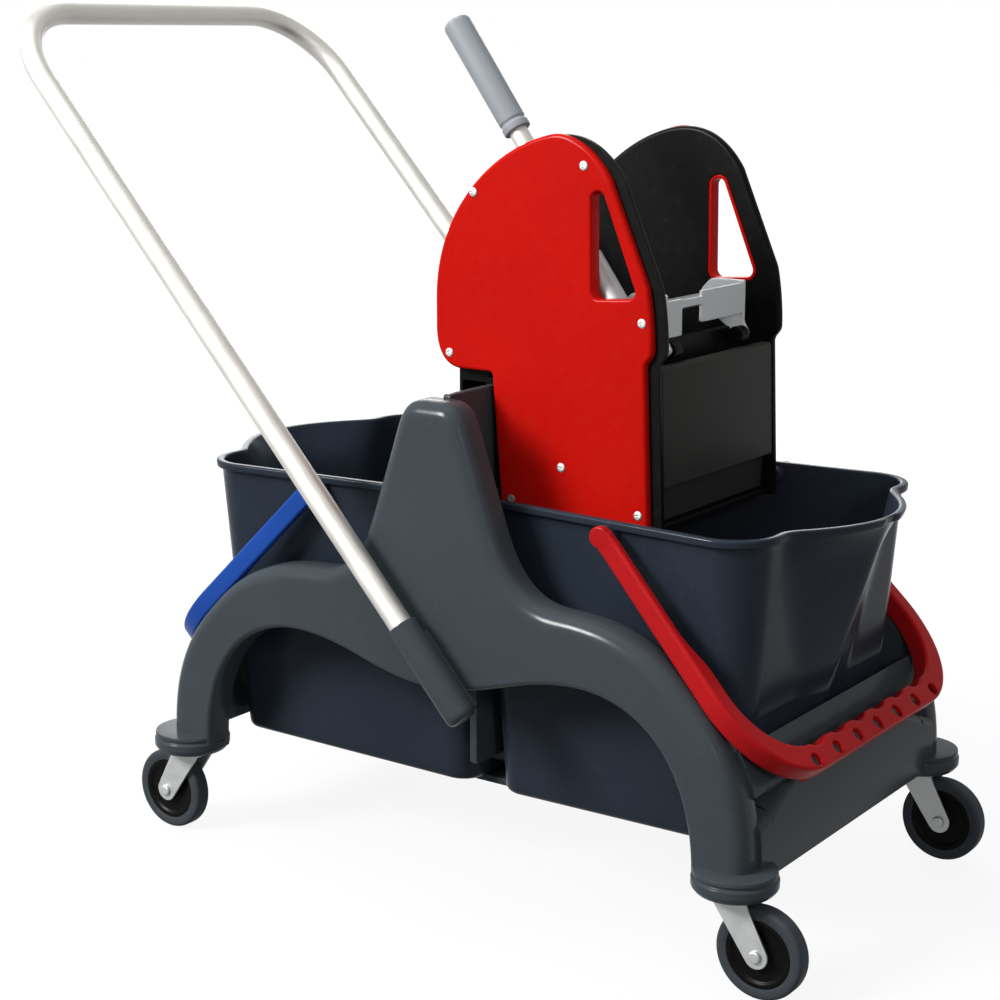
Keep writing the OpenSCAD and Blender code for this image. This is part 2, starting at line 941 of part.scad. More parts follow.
// Grid that the water drains through
module drain_grid() {
    slots = 9;
    slot_w = 8;
    x0 = plate_back + 0.5;
    x1 = plate_front - 8;
    pitch = (2 * plate_in - 20) / slots;
    wringer_piece(black)
    difference() {
        box([x0, -plate_in, grid_z], [x1, plate_in, grid_z + grid_t]);
        for (i = [0:slots - 1])
            translate([0, (i - (slots - 1) / 2) * pitch - slot_w / 2, 0])
            box([x0 + 14, 0, 0], [x1 - 14, slot_w, grid_z + grid_t + 1]);
    }
}

module flap_pin() {
    wringer_piece(zinc)
    rod(flap_axis[0], flap_axis[1], flap_pin_d, -cover_in, cover_in);
}

// Press flap: a slotted plate that swings back on its pin, with a tongue between the yoke's arms
module flap() {
    front = flap_axis[0] - flap_set;
    half = plate_in - 4.5;
    tongue = arm_in - 2.5;
    knuckle_d = flap_pin_d + 6;
    slots = 6;
    slot_w = 12;
    pitch = (2 * half - 20) / slots;
    wringer_piece(black)
    difference() {
        union() {
            box([front - flap_t, -half, flap_axis[1] - 11], [front, half, flap_shoulder]);
            box([front - flap_t, -tongue, flap_shoulder - 1], [front, tongue, flap_top]);
            box([front - 1, -half, flap_axis[1] - 5], [flap_axis[0], half, flap_axis[1] + 5]);
            rod(flap_axis[0], flap_axis[1], knuckle_d, -half, half);
        }
        rod(flap_axis[0], flap_axis[1], flap_pin_d + 2 * run_fit, -half - 1, half + 1);
        for (i = [0:slots - 1])
            translate([0, (i - (slots - 1) / 2) * pitch - slot_w / 2, 0])
            box([front - flap_t - 1, 0, flap_axis[1] + 20], [front + 1, slot_w, flap_shoulder - 20]);
    }
}

// Lever and yoke

module lever_shaft() {
    wringer_piece(zinc)
    rod(shaft_at[0], shaft_at[1], shaft_d, body_gap - cover_in, cover_in - body_gap);
}

// Two arms on the shaft that carry the press studs, joined by a stepped strap
module yoke() {
    hub_r = shaft_d / 2 + 7;
    end_r = stud_d / 2 - 2;
    strap = [
        [-arm_in, -20], [-42, -20], [-42, 4], [-8, 4], [-8, -12], [arm_in, -12],
        [arm_in, 16], [-8, 16], [-8, 11], [-42, 11], [-42, 12], [-arm_in, 12]
    ];
    wringer_piece(bright) {
        both_sides()
        difference() {
            union() {
                across(arm_in, arm_in + arm_t)
                polygon([
                    shaft_at + [0, hub_r], [strap_x + strap_t, shaft_at[1] + hub_r],
                    [strap_x + strap_t, stud_at[1]], stud_at - [0, end_r], shaft_at - [0, hub_r]
                ]);
                rod(shaft_at[0], shaft_at[1], 2 * hub_r, arm_in, arm_in + arm_t);
                rod(stud_at[0], stud_at[1], 2 * end_r, arm_in, arm_in + arm_t);
            }
            rod(shaft_at[0], shaft_at[1], shaft_d + 2 * run_fit, arm_in - 1, arm_in + arm_t + 1);
        }
        translate([strap_x, 0, shaft_at[1]])
        rotate([90, 0, 90])
        linear_extrude(strap_t)
        polygon(strap);
    }
}

module press_studs() {
    wringer_piece(black)
    both_sides()
    rod(stud_at[0], stud_at[1], stud_d, arm_in - stud_len, arm_in);
}

// A frame on the shaft whose Z runs up the lever
module along_lever() {
    translate([shaft_at[0], lever_y, shaft_at[1]])
    rotate([0, -lever_lean, 0])
    children();
}

tube_start = lever_hub_d / 2 + 2;

module lever_hub() {
    wringer_piece(black)
    along_lever()
    difference() {
        union() {
            rod(0, 0, lever_hub_d, -lever_hub_w / 2, lever_hub_w / 2);
            translate([0, 0, shaft_d / 2 + 2])
            cylinder(d = lever_socket_d, h = lever_socket_len - shaft_d / 2 - 2);
        }
        rod(0, 0, shaft_d + 2 * run_fit, -lever_hub_w, lever_hub_w);
        translate([0, 0, tube_start])
        cylinder(d = lever_tube_d + 2 * run_fit, h = lever_socket_len);
    }
}

module lever_tube() {
    grip_end_t = 4;
    wringer_piece(bright)
    along_lever()
    translate([0, 0, tube_start])
    difference() {
        cylinder(d = lever_tube_d, h = lever_len - grip_end_t - tube_start);
        translate([0, 0, -1])
        cylinder(d = lever_tube_d - 2 * lever_tube_wall, h = lever_len);
    }
}

// Grip sleeve with a rounded end
module lever_grip() {
    edge = 3;
    r = lever_grip_d / 2;
    bore = lever_tube_d / 2 + run_fit;
    end_t = 4;
    wringer_piece(pale_grey)
    along_lever()
    translate([0, 0, lever_len - lever_grip_len])
    rotate_extrude()
    polygon([
        [bore, 0], [r - 1, 0], [r, 1], [r, lever_grip_len - edge], [r - edge, lever_grip_len],
        [0, lever_grip_len], [0, lever_grip_len - end_t], [bore, lever_grip_len - end_t]
    ]);
}

// Castors, drawn about their stem with the wheel trailing along +X

module at_corner(c, colour) {
    piece(colour)
    translate([c[1] * stem_x, c[2] * stem_y, 0])
    mirror([c[1] < 0 ? 1 : 0, 0, 0])
    children();
}

// Crown plate and two strips down to the axle
module fork() {
    axle = [trail, wheel_d / 2];
    foot_r = axle_d / 2 + 5;
    side = turn_left(unit(axle - [0, race_z]));
    end = fork_in + fork_t;
    difference() {
        union() {
            box([-fork_w / 2, -end, crown_z], [fork_w / 2, end, race_z]);
            both_sides()
            across(fork_in, fork_in + fork_t) {
                polygon([
                    axle - foot_r * side, axle + foot_r * side, [fork_w / 2, race_z], [-fork_w / 2, race_z]
                ]);
                translate(axle)
                circle(r = foot_r);
            }
        }
        rod(axle[0], axle[1], axle_d + 2 * run_fit, -fork_in - 2 * fork_t, fork_in + 2 * fork_t);
    }
}

// Swivel race and the stem that goes up into the leg
module stem() {
    translate([0, 0, race_z])
    cylinder(d = boss_d + 10, h = race_t);
    translate([0, 0, race_z])
    cylinder(d = stem_d, h = base_z + stem_h - race_z);
}

// Axle bolt with a head towards the outside and a nut
module axle() {
    head_t = 4;
    end = fork_in + fork_t;
    rod(trail, wheel_d / 2, axle_d, -end - head_t, end + head_t);
    rod(trail, wheel_d / 2, axle_d + 5, -end - head_t, -end);
    translate([trail, end, wheel_d / 2])
    rotate([-90, 0, 0])
    cylinder(d = axle_d + 6, h = head_t, $fn = 6);
}

// A shape turned about the axle, drawn as radius and distance across
module wheel_turned() {
    translate([trail, 0, wheel_d / 2])
    rotate([-90, 0, 0])
    rotate_extrude()
    children();
}

module hub() {
    r0 = axle_d / 2 + run_fit;
    r1 = hub_d / 2 - run_fit;
    boss_r = r0 + 6;
    face = wheel_w / 2 - 1;
    boss = fork_in - 0.5;
    wheel_turned()
    polygon([
        [r0, -boss], [boss_r, -boss], [boss_r, -face], [r1, -face],
        [r1, face], [boss_r, face], [boss_r, boss], [r0, boss]
    ]);
}

module tyre() {
    edge = 4;
    r = wheel_d / 2;
    half = wheel_w / 2;
    wheel_turned()
    polygon([
        [hub_d / 2, -half], [r - edge, -half], [r - 1, 2 - half], [r, edge - half],
        [r, half - edge], [r - 1, half - 2], [r - edge, half], [hub_d / 2, half]
    ]);
}

side_panel_near();
side_panel_far();
end_wall_front();
end_wall_rear();
partition();
floor_rails();
leg_sockets();
corner_bumpers();
handle_tube();
handle_sockets();
bucket_red();
bail_studs_red();
bail_red();
bucket_blue();
bail_studs_blue();
bail_blue();
inner_plate_near();
inner_plate_far();
cover_near();
cover_far();
cover_screws();
front_panel();
back_plate();
saddle();
drain_grid();
flap_pin();
flap();
lever_shaft();
yoke();
press_studs();
lever_hub();
lever_tube();
lever_grip();
for (c = CORNERS) {
    at_corner(c, zinc) fork();
    at_corner(c, zinc) stem();
    at_corner(c, zinc) axle();
    at_corner(c, black) hub();
    at_corner(c, tyre_grey) tyre();
}
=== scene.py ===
"""A double mop bucket trolley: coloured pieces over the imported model, and the stage around it.

Laid out as a Blender add-on and run as a script. Shapes are worked out in millimetres from the
middle of the trolley's floor (+X to the wringer, -Y to the lever, +Z up), and build() turns them
into metres in the row frame.
"""
import math

import bmesh
import bpy
import numpy as np
from bpy.props import FloatProperty, FloatVectorProperty, IntProperty, PointerProperty
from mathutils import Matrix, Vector
from mathutils.geometry import tessellate_polygon


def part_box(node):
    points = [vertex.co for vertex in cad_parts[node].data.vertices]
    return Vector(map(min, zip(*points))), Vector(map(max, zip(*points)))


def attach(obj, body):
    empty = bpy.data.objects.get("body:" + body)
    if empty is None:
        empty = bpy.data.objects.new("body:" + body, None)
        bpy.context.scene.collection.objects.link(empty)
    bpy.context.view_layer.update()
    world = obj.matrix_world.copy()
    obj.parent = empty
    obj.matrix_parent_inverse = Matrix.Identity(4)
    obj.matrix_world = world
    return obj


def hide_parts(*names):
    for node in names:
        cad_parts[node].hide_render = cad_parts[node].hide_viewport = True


bl_info = {
    "name": "Mop bucket trolley",
    "version": (1, 0, 0),
    "blender": (4, 5, 0),
    "location": "3D View > Sidebar > Trolley",
    "description": "Builds the pieces of a double mop bucket trolley and a plain studio around it",
    "category": "Add Mesh",
}

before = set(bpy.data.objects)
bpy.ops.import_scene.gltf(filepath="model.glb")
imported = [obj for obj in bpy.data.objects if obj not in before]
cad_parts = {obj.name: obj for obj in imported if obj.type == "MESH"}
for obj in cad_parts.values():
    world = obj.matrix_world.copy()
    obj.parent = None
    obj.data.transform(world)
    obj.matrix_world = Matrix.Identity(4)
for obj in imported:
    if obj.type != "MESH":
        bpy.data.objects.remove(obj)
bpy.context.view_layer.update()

MM = 0.001
MIDDLE = np.array([sum(c[0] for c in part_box("partition")) / 2 / MM, 0.0, 0.0])


def node_box(node):
    """Lowest and highest corner of a CAD node, in millimetres from the middle of the floor."""
    return [np.array(c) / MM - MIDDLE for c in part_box(node)]


def centre(node):
    """Middle of a CAD node's box, in the same millimetres."""
    low, high = node_box(node)
    return (low + high) / 2


# Sizes that a box can't give, in millimetres
HANDLE_Y, HANDLE_FOOT = 219.0, np.array([55.0, 0.0, 195.0])
TUBE_R, LEVER_R, FIT = 11, 8.5, 0.1  # radii of the handle's and the lever's tube, and their play
BAIL_PIVOT_Y, BAIL_FOOT_Y = 166.0, 181.0
KNEE = [262.0, 246.1]  # where a leg's outer edge turns into the shoulder
FOOT_FALL = 12.0  # fall of a bucket's floor from end to end
HOLD = 0.4  # flat strip inside a rounded edge, which keeps its shading off the face
SHARP = 38  # degrees between faces, above which an edge stays sharp
CORNERS = {"front_near": (1, -1), "front_far": (1, 1), "rear_near": (-1, -1), "rear_far": (-1, 1)}
X, Y, Z = np.eye(3)

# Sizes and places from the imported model, in millimetres
PANEL_LOW, PANEL_HIGH = node_box("side_panel_near")
PANEL_OUT, PANEL_IN = -PANEL_LOW[1], -PANEL_HIGH[1]
LEG_OUT, LEG_Z, HUMP_Z = PANEL_HIGH[0], PANEL_LOW[2], PANEL_HIGH[2]
WALL_Z = node_box("end_wall_front")[0][2]
RAIL_LOW, RAIL_HIGH = node_box("floor_rails")
PART_LOW, PART_HIGH = node_box("partition")
BUMPER_LOW, BUMPER_HIGH = node_box("corner_bumpers")
BASE_Z = BUMPER_LOW[2]
STEM_X, STEM_Y, _ = centre("stem_front_far")
BUCKET_LOW, BUCKET_HIGH = node_box("bucket_red")
BUCKET_Z0, RIM_Z = BUCKET_LOW[2] + FOOT_FALL / 2, BUCKET_HIGH[2]
RIM_IN, RIM_OUT = BUCKET_LOW[0], STEM_X
FOOT_IN, FOOT_OUT = RIM_IN + 10, RIM_OUT - 26
BAIL_X, _, BAIL_Z = centre("bail_studs_red")
PLATE_LOW, PLATE_HIGH = node_box("inner_plate_far")
PLATE_IN, COVER_IN = PLATE_LOW[1], PLATE_HIGH[1]
COVER_OUT = node_box("cover_far")[1][1]
WRINGER_Z = PLATE_LOW[2]
SHAFT_LOW, SHAFT_HIGH = node_box("lever_shaft")
SHAFT_X, _, SHAFT_Z = centre("lever_shaft")
PIN_LOW, PIN_HIGH = node_box("flap_pin")
PIN_X, _, PIN_Z = centre("flap_pin")
LEVER_Y = centre("lever_grip")[1]
TYRE_LOW, TYRE_HIGH = node_box("tyre_front_far")
_, WHEEL_HALF, WHEEL_R = (TYRE_HIGH - TYRE_LOW) / 2
TRAIL = centre("tyre_front_far")[0] - STEM_X
FORK_LOW, FORK_HIGH = node_box("fork_front_far")


# Outlines

def curve(a, d, f, g, n=24):
    """Cubic curve from a to d; its two pulls are the shares f and g of the way along each axis."""
    a, d, f, g = (np.asarray(v, float) for v in (a, d, f, g))
    t = np.linspace(0, 1, n + 1)[:, None]
    b, c = a + f * (d - a), a + g * (d - a)
    return a * (1 - t) ** 3 + 3 * b * (1 - t) ** 2 * t + 3 * c * (1 - t) * t ** 2 + d * t ** 3


def arc(middle, r, a0, a1, n=16):
    """Points on a circle from angle a0 to a1, in degrees."""
    a = np.radians(np.linspace(a0, a1, n + 1))
    return np.asarray(middle, float) + r * np.stack([np.cos(a), np.sin(a)], 1)


def chain(*runs):
    """Runs of points joined end to end, without repeated points."""
    p = np.concatenate([np.atleast_2d(np.asarray(r, float)) for r in runs])
    return p[np.r_[True, np.linalg.norm(np.diff(p, axis=0), axis=1) > 1e-6]]


def ringed(p):
    """An outline with its first point again at its end."""
    return np.r_[p, p[:1]]


def spaced(p, n):
    """The same line with n points at even distances along it."""
    s = np.r_[0, np.cumsum(np.linalg.norm(np.diff(p, axis=0), axis=1))]
    return np.stack([np.interp(np.linspace(0, s[-1], n), s, c) for c in p.T], 1)


def softened(p, cut, n=6):
    """A closed outline, each corner rounded by a quadratic curve that starts cut before it."""
    p = np.asarray(p, float)
    u, v = np.roll(p, 1, 0) - p, np.roll(p, -1, 0) - p
    u, v = (w / np.linalg.norm(w, axis=1, keepdims=True) for w in (u, v))
    cut = np.broadcast_to(cut, len(p))[:, None]
    t = np.linspace(0, 1, n + 1)[:, None, None]
    q = (1 - t) ** 2 * (p + u * cut) + 2 * t * (1 - t) * p + t ** 2 * (p + v * cut)
    return chain(q.transpose(1, 0, 2).reshape(-1, 2))


def rectangle(u0, v0, u1, v1, cut):
    """A rectangle with rounded corners, counter-clockwise."""
    return softened([[u0, v0], [u1, v0], [u1, v1], [u0, v1]], cut)


def around(p, r):
    """The outline round circles of radius r on the corners of a convex counter-clockwise shape."""
    p = np.asarray(p, float)
    e = np.roll(p, -1, 0) - p
    a1 = np.degrees(np.arctan2(-e[:, 0], e[:, 1]))
    a0 = np.roll(a1, 1)
    a1 = np.where(a1 < a0, a1 + 360, a1)
    return chain(*(arc(c, r, s, t, 10) for c, s, t in zip(p, a0, a1)))


def inset(p, d):
    """A closed counter-clockwise outline moved inwards by d, with mitred corners."""
    e = np.roll(p, -1, 0) - p
    e /= np.linalg.norm(e, axis=1, keepdims=True)
    m = np.stack([-e[:, 1], e[:, 0]], 1)
    k = np.roll(m, 1, 0)
    return p + d * (m + k) / (1 + (m * k).sum(1, keepdims=True))


def step(u, a, b):
    """0 below a, 1 above b and a smooth rise between."""
    t = np.clip((u - a) / (b - a), 0, 1)
    return t * t * (3 - 2 * t)


# Surfaces: each is a patch of points and groups of faces

def quads(rows, cols, closed=True):
    """Faces of a grid kept row by row; a closed grid joins its last column to its first."""
    across_row = np.arange(cols if closed else cols - 1)
    r, c = np.meshgrid(np.arange(rows - 1), across_row, indexing="ij")
    a, b = r * cols + c, r * cols + (c + 1) % cols
    return np.stack([a, b, b + cols, a + cols], -1).reshape(-1, 4)


def cap(loops):
    """Triangles that fill a flat outline, less the holes that follow it."""
    return np.array(tessellate_polygon([[Vector((u, v, 0)) for u, v in loop] for loop in loops]))


def mirrored(patches, axis):
    """The same patches on the other side of the trolley's middle plane across an axis."""
    flip = 1 - 2 * np.asarray(axis)
    return [(points * flip, groups) for points, groups in patches]


def lathe(profile, at, axis, n=48):
    """A profile of (r, h) about an axis: P(a, s) = at + r(s) (e1 cos a + e2 sin a) + h(s) axis."""
    r, h = np.asarray(profile, float).T[:, :, None, None]
    axis = np.asarray(axis, float)
    e1 = np.cross(axis, X if abs(axis[1]) > 0.9 else Y)
    e1 /= np.linalg.norm(e1)
    a = (np.arange(n) * 2 * np.pi / n)[:, None]
    points = np.asarray(at) + r * (np.cos(a) * e1 + np.sin(a) * np.cross(axis, e1)) + h * axis
    return points.reshape(-1, 3), [quads(len(profile), n)]


def rod(at, axis, r, length, edge=0.6):
    """A round bar with softened ends."""
    ends = softened([[0, 0], [r, 0], [r, length], [0, length]], [0, edge, edge, 0])
    return lathe(ends, at, axis, 40)


def sleeve(at, axis, r0, r1, length):
    """A round tube with softened ends."""
    return lathe(ringed(rectangle(r0, 0, r1, length, 0.8)), at, axis)


def plate(loops, depth, edges, at, u, v, w):
    """A flat plate with holes: P = at + a u + b v + c w.

    Each loop's rings run from the front face over a quarter round of radius e, with (a, b) moved in
    by e (1 - sin q) at depth c = e (1 - cos q), straight down the side and over the back edge in
    the same way. The first loop is the outline, the others are holes, clockwise; edges holds each
    loop's front and back radius.
    """
    points, faces, front, back, base = [], [], [], [], 0
    q = np.radians(np.linspace(0, 90, 7))
    turn_in = np.stack([1 - np.sin(q), 1 - np.cos(q)], 1)
    for loop, (f, b) in zip(loops, edges):
        over_back = b * turn_in[::-1] * [1, -1] + [0, depth]
        rows = np.concatenate([[[f + HOLD, 0]], f * turn_in, over_back, [[b + HOLD, depth]]])
        rings = np.stack([np.c_[inset(loop, d), np.full(len(loop), c)] for d, c in rows])
        points.append(rings.reshape(-1, 3))
        faces.append(base + quads(len(rows), len(loop)))
        front.append(base + np.arange(len(loop)))
        back.append(base + (len(rows) - 1) * len(loop) + np.arange(len(loop)))
        base += len(rows) * len(loop)
    points = np.concatenate(points)
    for ids in (front, back):
        faces.append(np.concatenate(ids)[cap([points[i, :2] for i in ids])])
    return np.asarray(at, float) + points @ np.stack([u, v, w]), faces


def slab(loop, y, depth, edge):
    """An outline in X and Z spread along Y from y, with both edges rounded."""
    return plate([loop], depth, [(edge, edge)], [0, y, 0], X, Z, Y)


def block(low, high, edge):
    """A moulded bar with rounded edges, between two corners."""
    loop = rectangle(low[0], low[2], high[0], high[2], edge)
    return slab(loop, low[1], high[1] - low[1], edge * 0.7)


def tube(path, r, n):
    """A round tube along a flat path: P(s, a) = c(s) + r (m cos a + b(s) sin a).

    m is square to the path's plane, and b to m and to the path.
    """
    t = np.gradient(path, axis=0)
    t /= np.linalg.norm(t, axis=1, keepdims=True)
    bend = path[len(path) // 2]
    m = np.cross(path[0] - bend, path[-1] - bend)
    m /= np.linalg.norm(m)
    b = np.cross(t, m)
    a = (np.arange(n) * 2 * np.pi / n)[:, None]
    points = path[:, None] + r * (np.cos(a) * m + np.sin(a) * b[:, None])
    end = np.arange(n)[None]
    return points.reshape(-1, 3), [quads(len(path), n), end, end + n * (len(path) - 1)]


def thick(grid, t):
    """A sheet of thickness t under a grid of points: its back is moved along the normals."""
    normal = np.cross(np.gradient(grid, axis=0), np.gradient(grid, axis=1))
    normal /= np.linalg.norm(normal, axis=2, keepdims=True)
    rows, cols = grid.shape[:2]
    count = rows * cols
    ids = np.arange(count).reshape(rows, cols)
    rim = np.r_[ids[0, :-1], ids[:-1, -1], ids[-1, :0:-1], ids[:0:-1, 0]]
    after = np.roll(rim, -1)
    points = np.concatenate([grid.reshape(-1, 3), (grid - t * normal).reshape(-1, 3)])
    face = quads(rows, cols, closed=False)
    return points, [face, face + count, np.stack([rim, after, after + count, rim + count], 1)]


def build(name, patches, material, body, node):
    """Makes one object of the patches, with its faces out, and hands it to the frame."""
    mesh = bpy.data.meshes.new(name)
    whole = bmesh.new()
    for points, groups in patches:
        mesh.clear_geometry()
        faces = [f for g in groups for f in g.tolist()]
        mesh.from_pydata(((points + MIDDLE) * MM).tolist(), [], faces)
        patch = bmesh.new()
        patch.from_mesh(mesh)
        bmesh.ops.remove_doubles(patch, verts=patch.verts, dist=1e-6)
        bmesh.ops.recalc_face_normals(patch, faces=patch.faces)
        patch.to_mesh(mesh)
        patch.free()
        whole.from_mesh(mesh)
    whole.to_mesh(mesh)
    whole.free()
    mesh.shade_smooth()
    mesh.set_sharp_from_angle(angle=math.radians(SHARP))
    mesh.materials.append(material)
    piece = bpy.data.objects.new(name, mesh)
    bpy.context.scene.collection.objects.link(piece)
    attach(piece, body)
    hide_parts(node)


# Materials

def linear(text):
    """An sRGB hex colour as linear red, green and blue."""
    c = np.array([int(text[i:i + 2], 16) for i in (1, 3, 5)]) / 255
    return tuple(np.where(c <= 0.04045, c / 12.92, ((c + 0.055) / 1.055) ** 2.4).tolist())


def shade(colour, share, lift=0.0):
    """A share of a colour, lifted towards white, with full cover."""
    return (*(min(1, share * c + lift) for c in colour), 1)


def add(tree, kind, settings, links=()):
    """Adds a node: settings name its sockets or own values, links pair a socket with an output."""
    node = tree.nodes.new(kind)
    for key, value in settings.items():
        if key in node.inputs:
            node.inputs[key].default_value = value
        else:
            setattr(node, key, value)
    for key, output in links:
        tree.links.new(output, node.inputs[key])
    return node


def blank(name):
    """A new material whose only node gives its object coordinates, in metres."""
    material = bpy.data.materials.new(name)
    material.use_nodes = True
    tree = material.node_tree
    tree.nodes.clear()
    return material, tree, add(tree, "ShaderNodeTexCoord", {}).outputs["Object"]


def coat(tree, settings, colour, gloss, height, relief):
    """Ends a material with one shader over a bump, whose relief is its strength and its metres."""
    strength, distance = relief
    bump = add(tree, "ShaderNodeBump", {"Strength": strength, "Distance": distance},
               [("Height", height.outputs["Fac"])])
    skin = add(tree, "ShaderNodeBsdfPrincipled", settings, [
        ("Base Color", colour.outputs["Color"]), ("Roughness", gloss.outputs["Result"]),
        ("Normal", bump.outputs["Normal"])])
    add(tree, "ShaderNodeOutputMaterial", {}, [("Surface", skin.outputs["BSDF"])])


def moulded(name, colour, rough, grain, scuff, shine=0.04):
    """Injection-moulded plastic: the eye sees a tint that drifts a little over a hand's width, a
    broad soft highlight, a fine spark-eroded grain and, on pieces that are handled, faint rubbed
    patches. The grain, in millimetres, is drawn coarser than the real one, so that it shows; shine
    is the strength of the highlight."""
    if name in bpy.data.materials:
        return bpy.data.materials[name]
    material, tree, where = blank(name)
    drift = add(tree, "ShaderNodeTexNoise", {"Scale": 1 / (90 * MM), "Detail": 3.0},
                [("Vector", where)])
    rub = add(tree, "ShaderNodeTexNoise", {
        "Scale": 1 / (12 * MM), "Detail": 6.0, "Roughness": 0.7}, [("Vector", where)])
    pits = add(tree, "ShaderNodeTexNoise", {"Scale": 1 / (grain * MM), "Detail": 2.0},
               [("Vector", where)])
    worn = add(tree, "ShaderNodeMapRange", {
        "From Min": 0.56, "From Max": 0.8, "To Min": 0.0, "To Max": scuff},
        [("Value", rub.outputs["Fac"])])
    tint = add(tree, "ShaderNodeMixRGB", {
        "Color1": shade(colour, 0.9), "Color2": shade(colour, 1.1)},
        [("Fac", drift.outputs["Fac"])])
    pale = add(tree, "ShaderNodeMixRGB", {"Color2": shade(colour, 0.8, 0.05)},
               [("Fac", worn.outputs["Result"]), ("Color1", tint.outputs["Color"])])
    gloss = add(tree, "ShaderNodeMapRange", {"To Min": rough - 0.06, "To Max": rough + 0.08},
                [("Value", rub.outputs["Fac"])])
    coat(tree, {"IOR": 1.49, "Specular IOR Level": shine}, pale, gloss, pits, (0.05, 0.0003))
    return material


def metal(name, colour, rough, cloud, depth):
    """Drawn or plated metal: the eye sees bright reflections, softened by a fine cloudy unevenness
    of the surface, with slightly duller patches where the finish is thinner. The unevenness is
    drawn coarser than the real one, so that it shows; cloud is the patches' size in millimetres."""
    if name in bpy.data.materials:
        return bpy.data.materials[name]
    material, tree, where = blank(name)
    patch = add(tree, "ShaderNodeTexNoise", {"Scale": 1 / (cloud * MM), "Detail": 4.0},
                [("Vector", where)])
    fine = add(tree, "ShaderNodeTexNoise", {"Scale": 1 / (1.2 * MM), "Detail": 2.0},
               [("Vector", where)])
    tint = add(tree, "ShaderNodeMixRGB", {
        "Color1": shade(colour, 0.86), "Color2": shade(colour, 1)}, [("Fac", patch.outputs["Fac"])])
    gloss = add(tree, "ShaderNodeMapRange", {"To Min": rough - 0.08, "To Max": rough + 0.1},
                [("Value", patch.outputs["Fac"])])
    coat(tree, {"Metallic": 0.6}, tint, gloss, fine, (depth, 0.0002))
    return material


# Settings

def colour_setting(name, description, text):
    return FloatVectorProperty(name=name, description=description, subtype="COLOR", min=0, max=1,
                               default=linear(text))


def length_setting(name, description, millimetres):
    return FloatProperty(name=name, description=description, subtype="DISTANCE", unit="LENGTH",
                         min=0, default=millimetres * MM)


def angle_setting(name, description, degrees):
    return FloatProperty(name=name, description=description, subtype="ANGLE", unit="ROTATION",
                         default=math.radians(degrees))


def power_setting(name, description, watts):
    return FloatProperty(name=name, description=description, unit="POWER", default=watts)


class TrolleyChassisSettings(bpy.types.PropertyGroup):
    """Looks of the moulded chassis and its push handle."""
    colour: colour_setting("Chassis", "Colour of the moulded chassis", "#464d52")
    edge: length_setting("Upper rounding", "Rounding along a panel's legs, shoulders and hump", 14)
    arch_edge: length_setting("Arch rounding", "Rounding along a side panel's double arch", 5)
    wall: length_setting("Wall", "Wall of the moulded pieces", 4)
    tube_colour: colour_setting("Tube", "Colour of the bright tube", "#c4c2bc")
    handle_length: length_setting("Handle length", "From the sockets' foot to the cross bar", 814.5)
    handle_bend: length_setting("Handle bend", "Radius of the handle's two bends", 85)
    lean: angle_setting("Handle lean", "Lean of the handle from upright", 42.2)


class TrolleyBucketSettings(bpy.types.PropertyGroup):
    """Looks of the two buckets and their bails."""
    colour: colour_setting("Bucket", "Colour of both buckets", "#2f3742")
    red: colour_setting("Red bail", "Colour of the front bucket's bail", "#c01c20")
    blue: colour_setting("Blue bail", "Colour of the rear bucket's bail", "#2450aa")
    round: length_setting("Corner radius", "Radius of the outer upright corners at the rim", 40)
    wall: length_setting("Wall", "Wall of a bucket", 3)
    roll: length_setting("Rim roll", "How far the rolled rim stands out", 5)
    skirt: length_setting("Rim skirt", "Height of the rolled rim", 7)
    spout: length_setting("Spout", "How far the pouring spout stands out at the rim", 46)
    spout_drop: length_setting("Spout height", "Height of the spout below the rim", 200)
    bail_edge: length_setting("Bail edge", "Rounding of a bail's edges", 3)
    slope: angle_setting("Bail slope", "Slope of a bail at rest, below level", 45.7)
    holes: IntProperty(name="Grip holes", description="Holes along a bail's grip", min=0, max=9,
                       default=7)


class TrolleyWringerSettings(bpy.types.PropertyGroup):
    """Looks of the wringer and its lever."""
    red: colour_setting("Covers", "Colour of the two covers", "#cf150d")
    black: colour_setting("Black plastic", "Colour of the black moulded pieces", "#11100f")
    # Painted sheen: the front panel's black is lighter than the other black plastic, to stand in
    # for the side light's sheen on it.
    front: colour_setting("Front panel", "Colour of the dusty black front panel", "#343432")
    coat: colour_setting("Yoke", "Colour of the powder coated yoke", "#eef2f5")
    grip: colour_setting("Lever grip", "Colour of the lever's grip", "#a3a8ae")
    zinc: colour_setting("Plated steel", "Colour of the zinc plated steel", "#a2a4a4")
    cover_edge: length_setting("Cover edge", "Rounding of a cover's outer edge", 3.5)
    lever_lean: angle_setting("Lever lean", "Lean of the lever from upright", 35.8)


class TrolleyCastorSettings(bpy.types.PropertyGroup):
    """Looks of the four castors."""
    rubber: colour_setting("Tyre", "Colour of the rubber tyres", "#464b50")
    tread: length_setting("Tread rounding", "Rounding of a tyre's shoulders", 5)


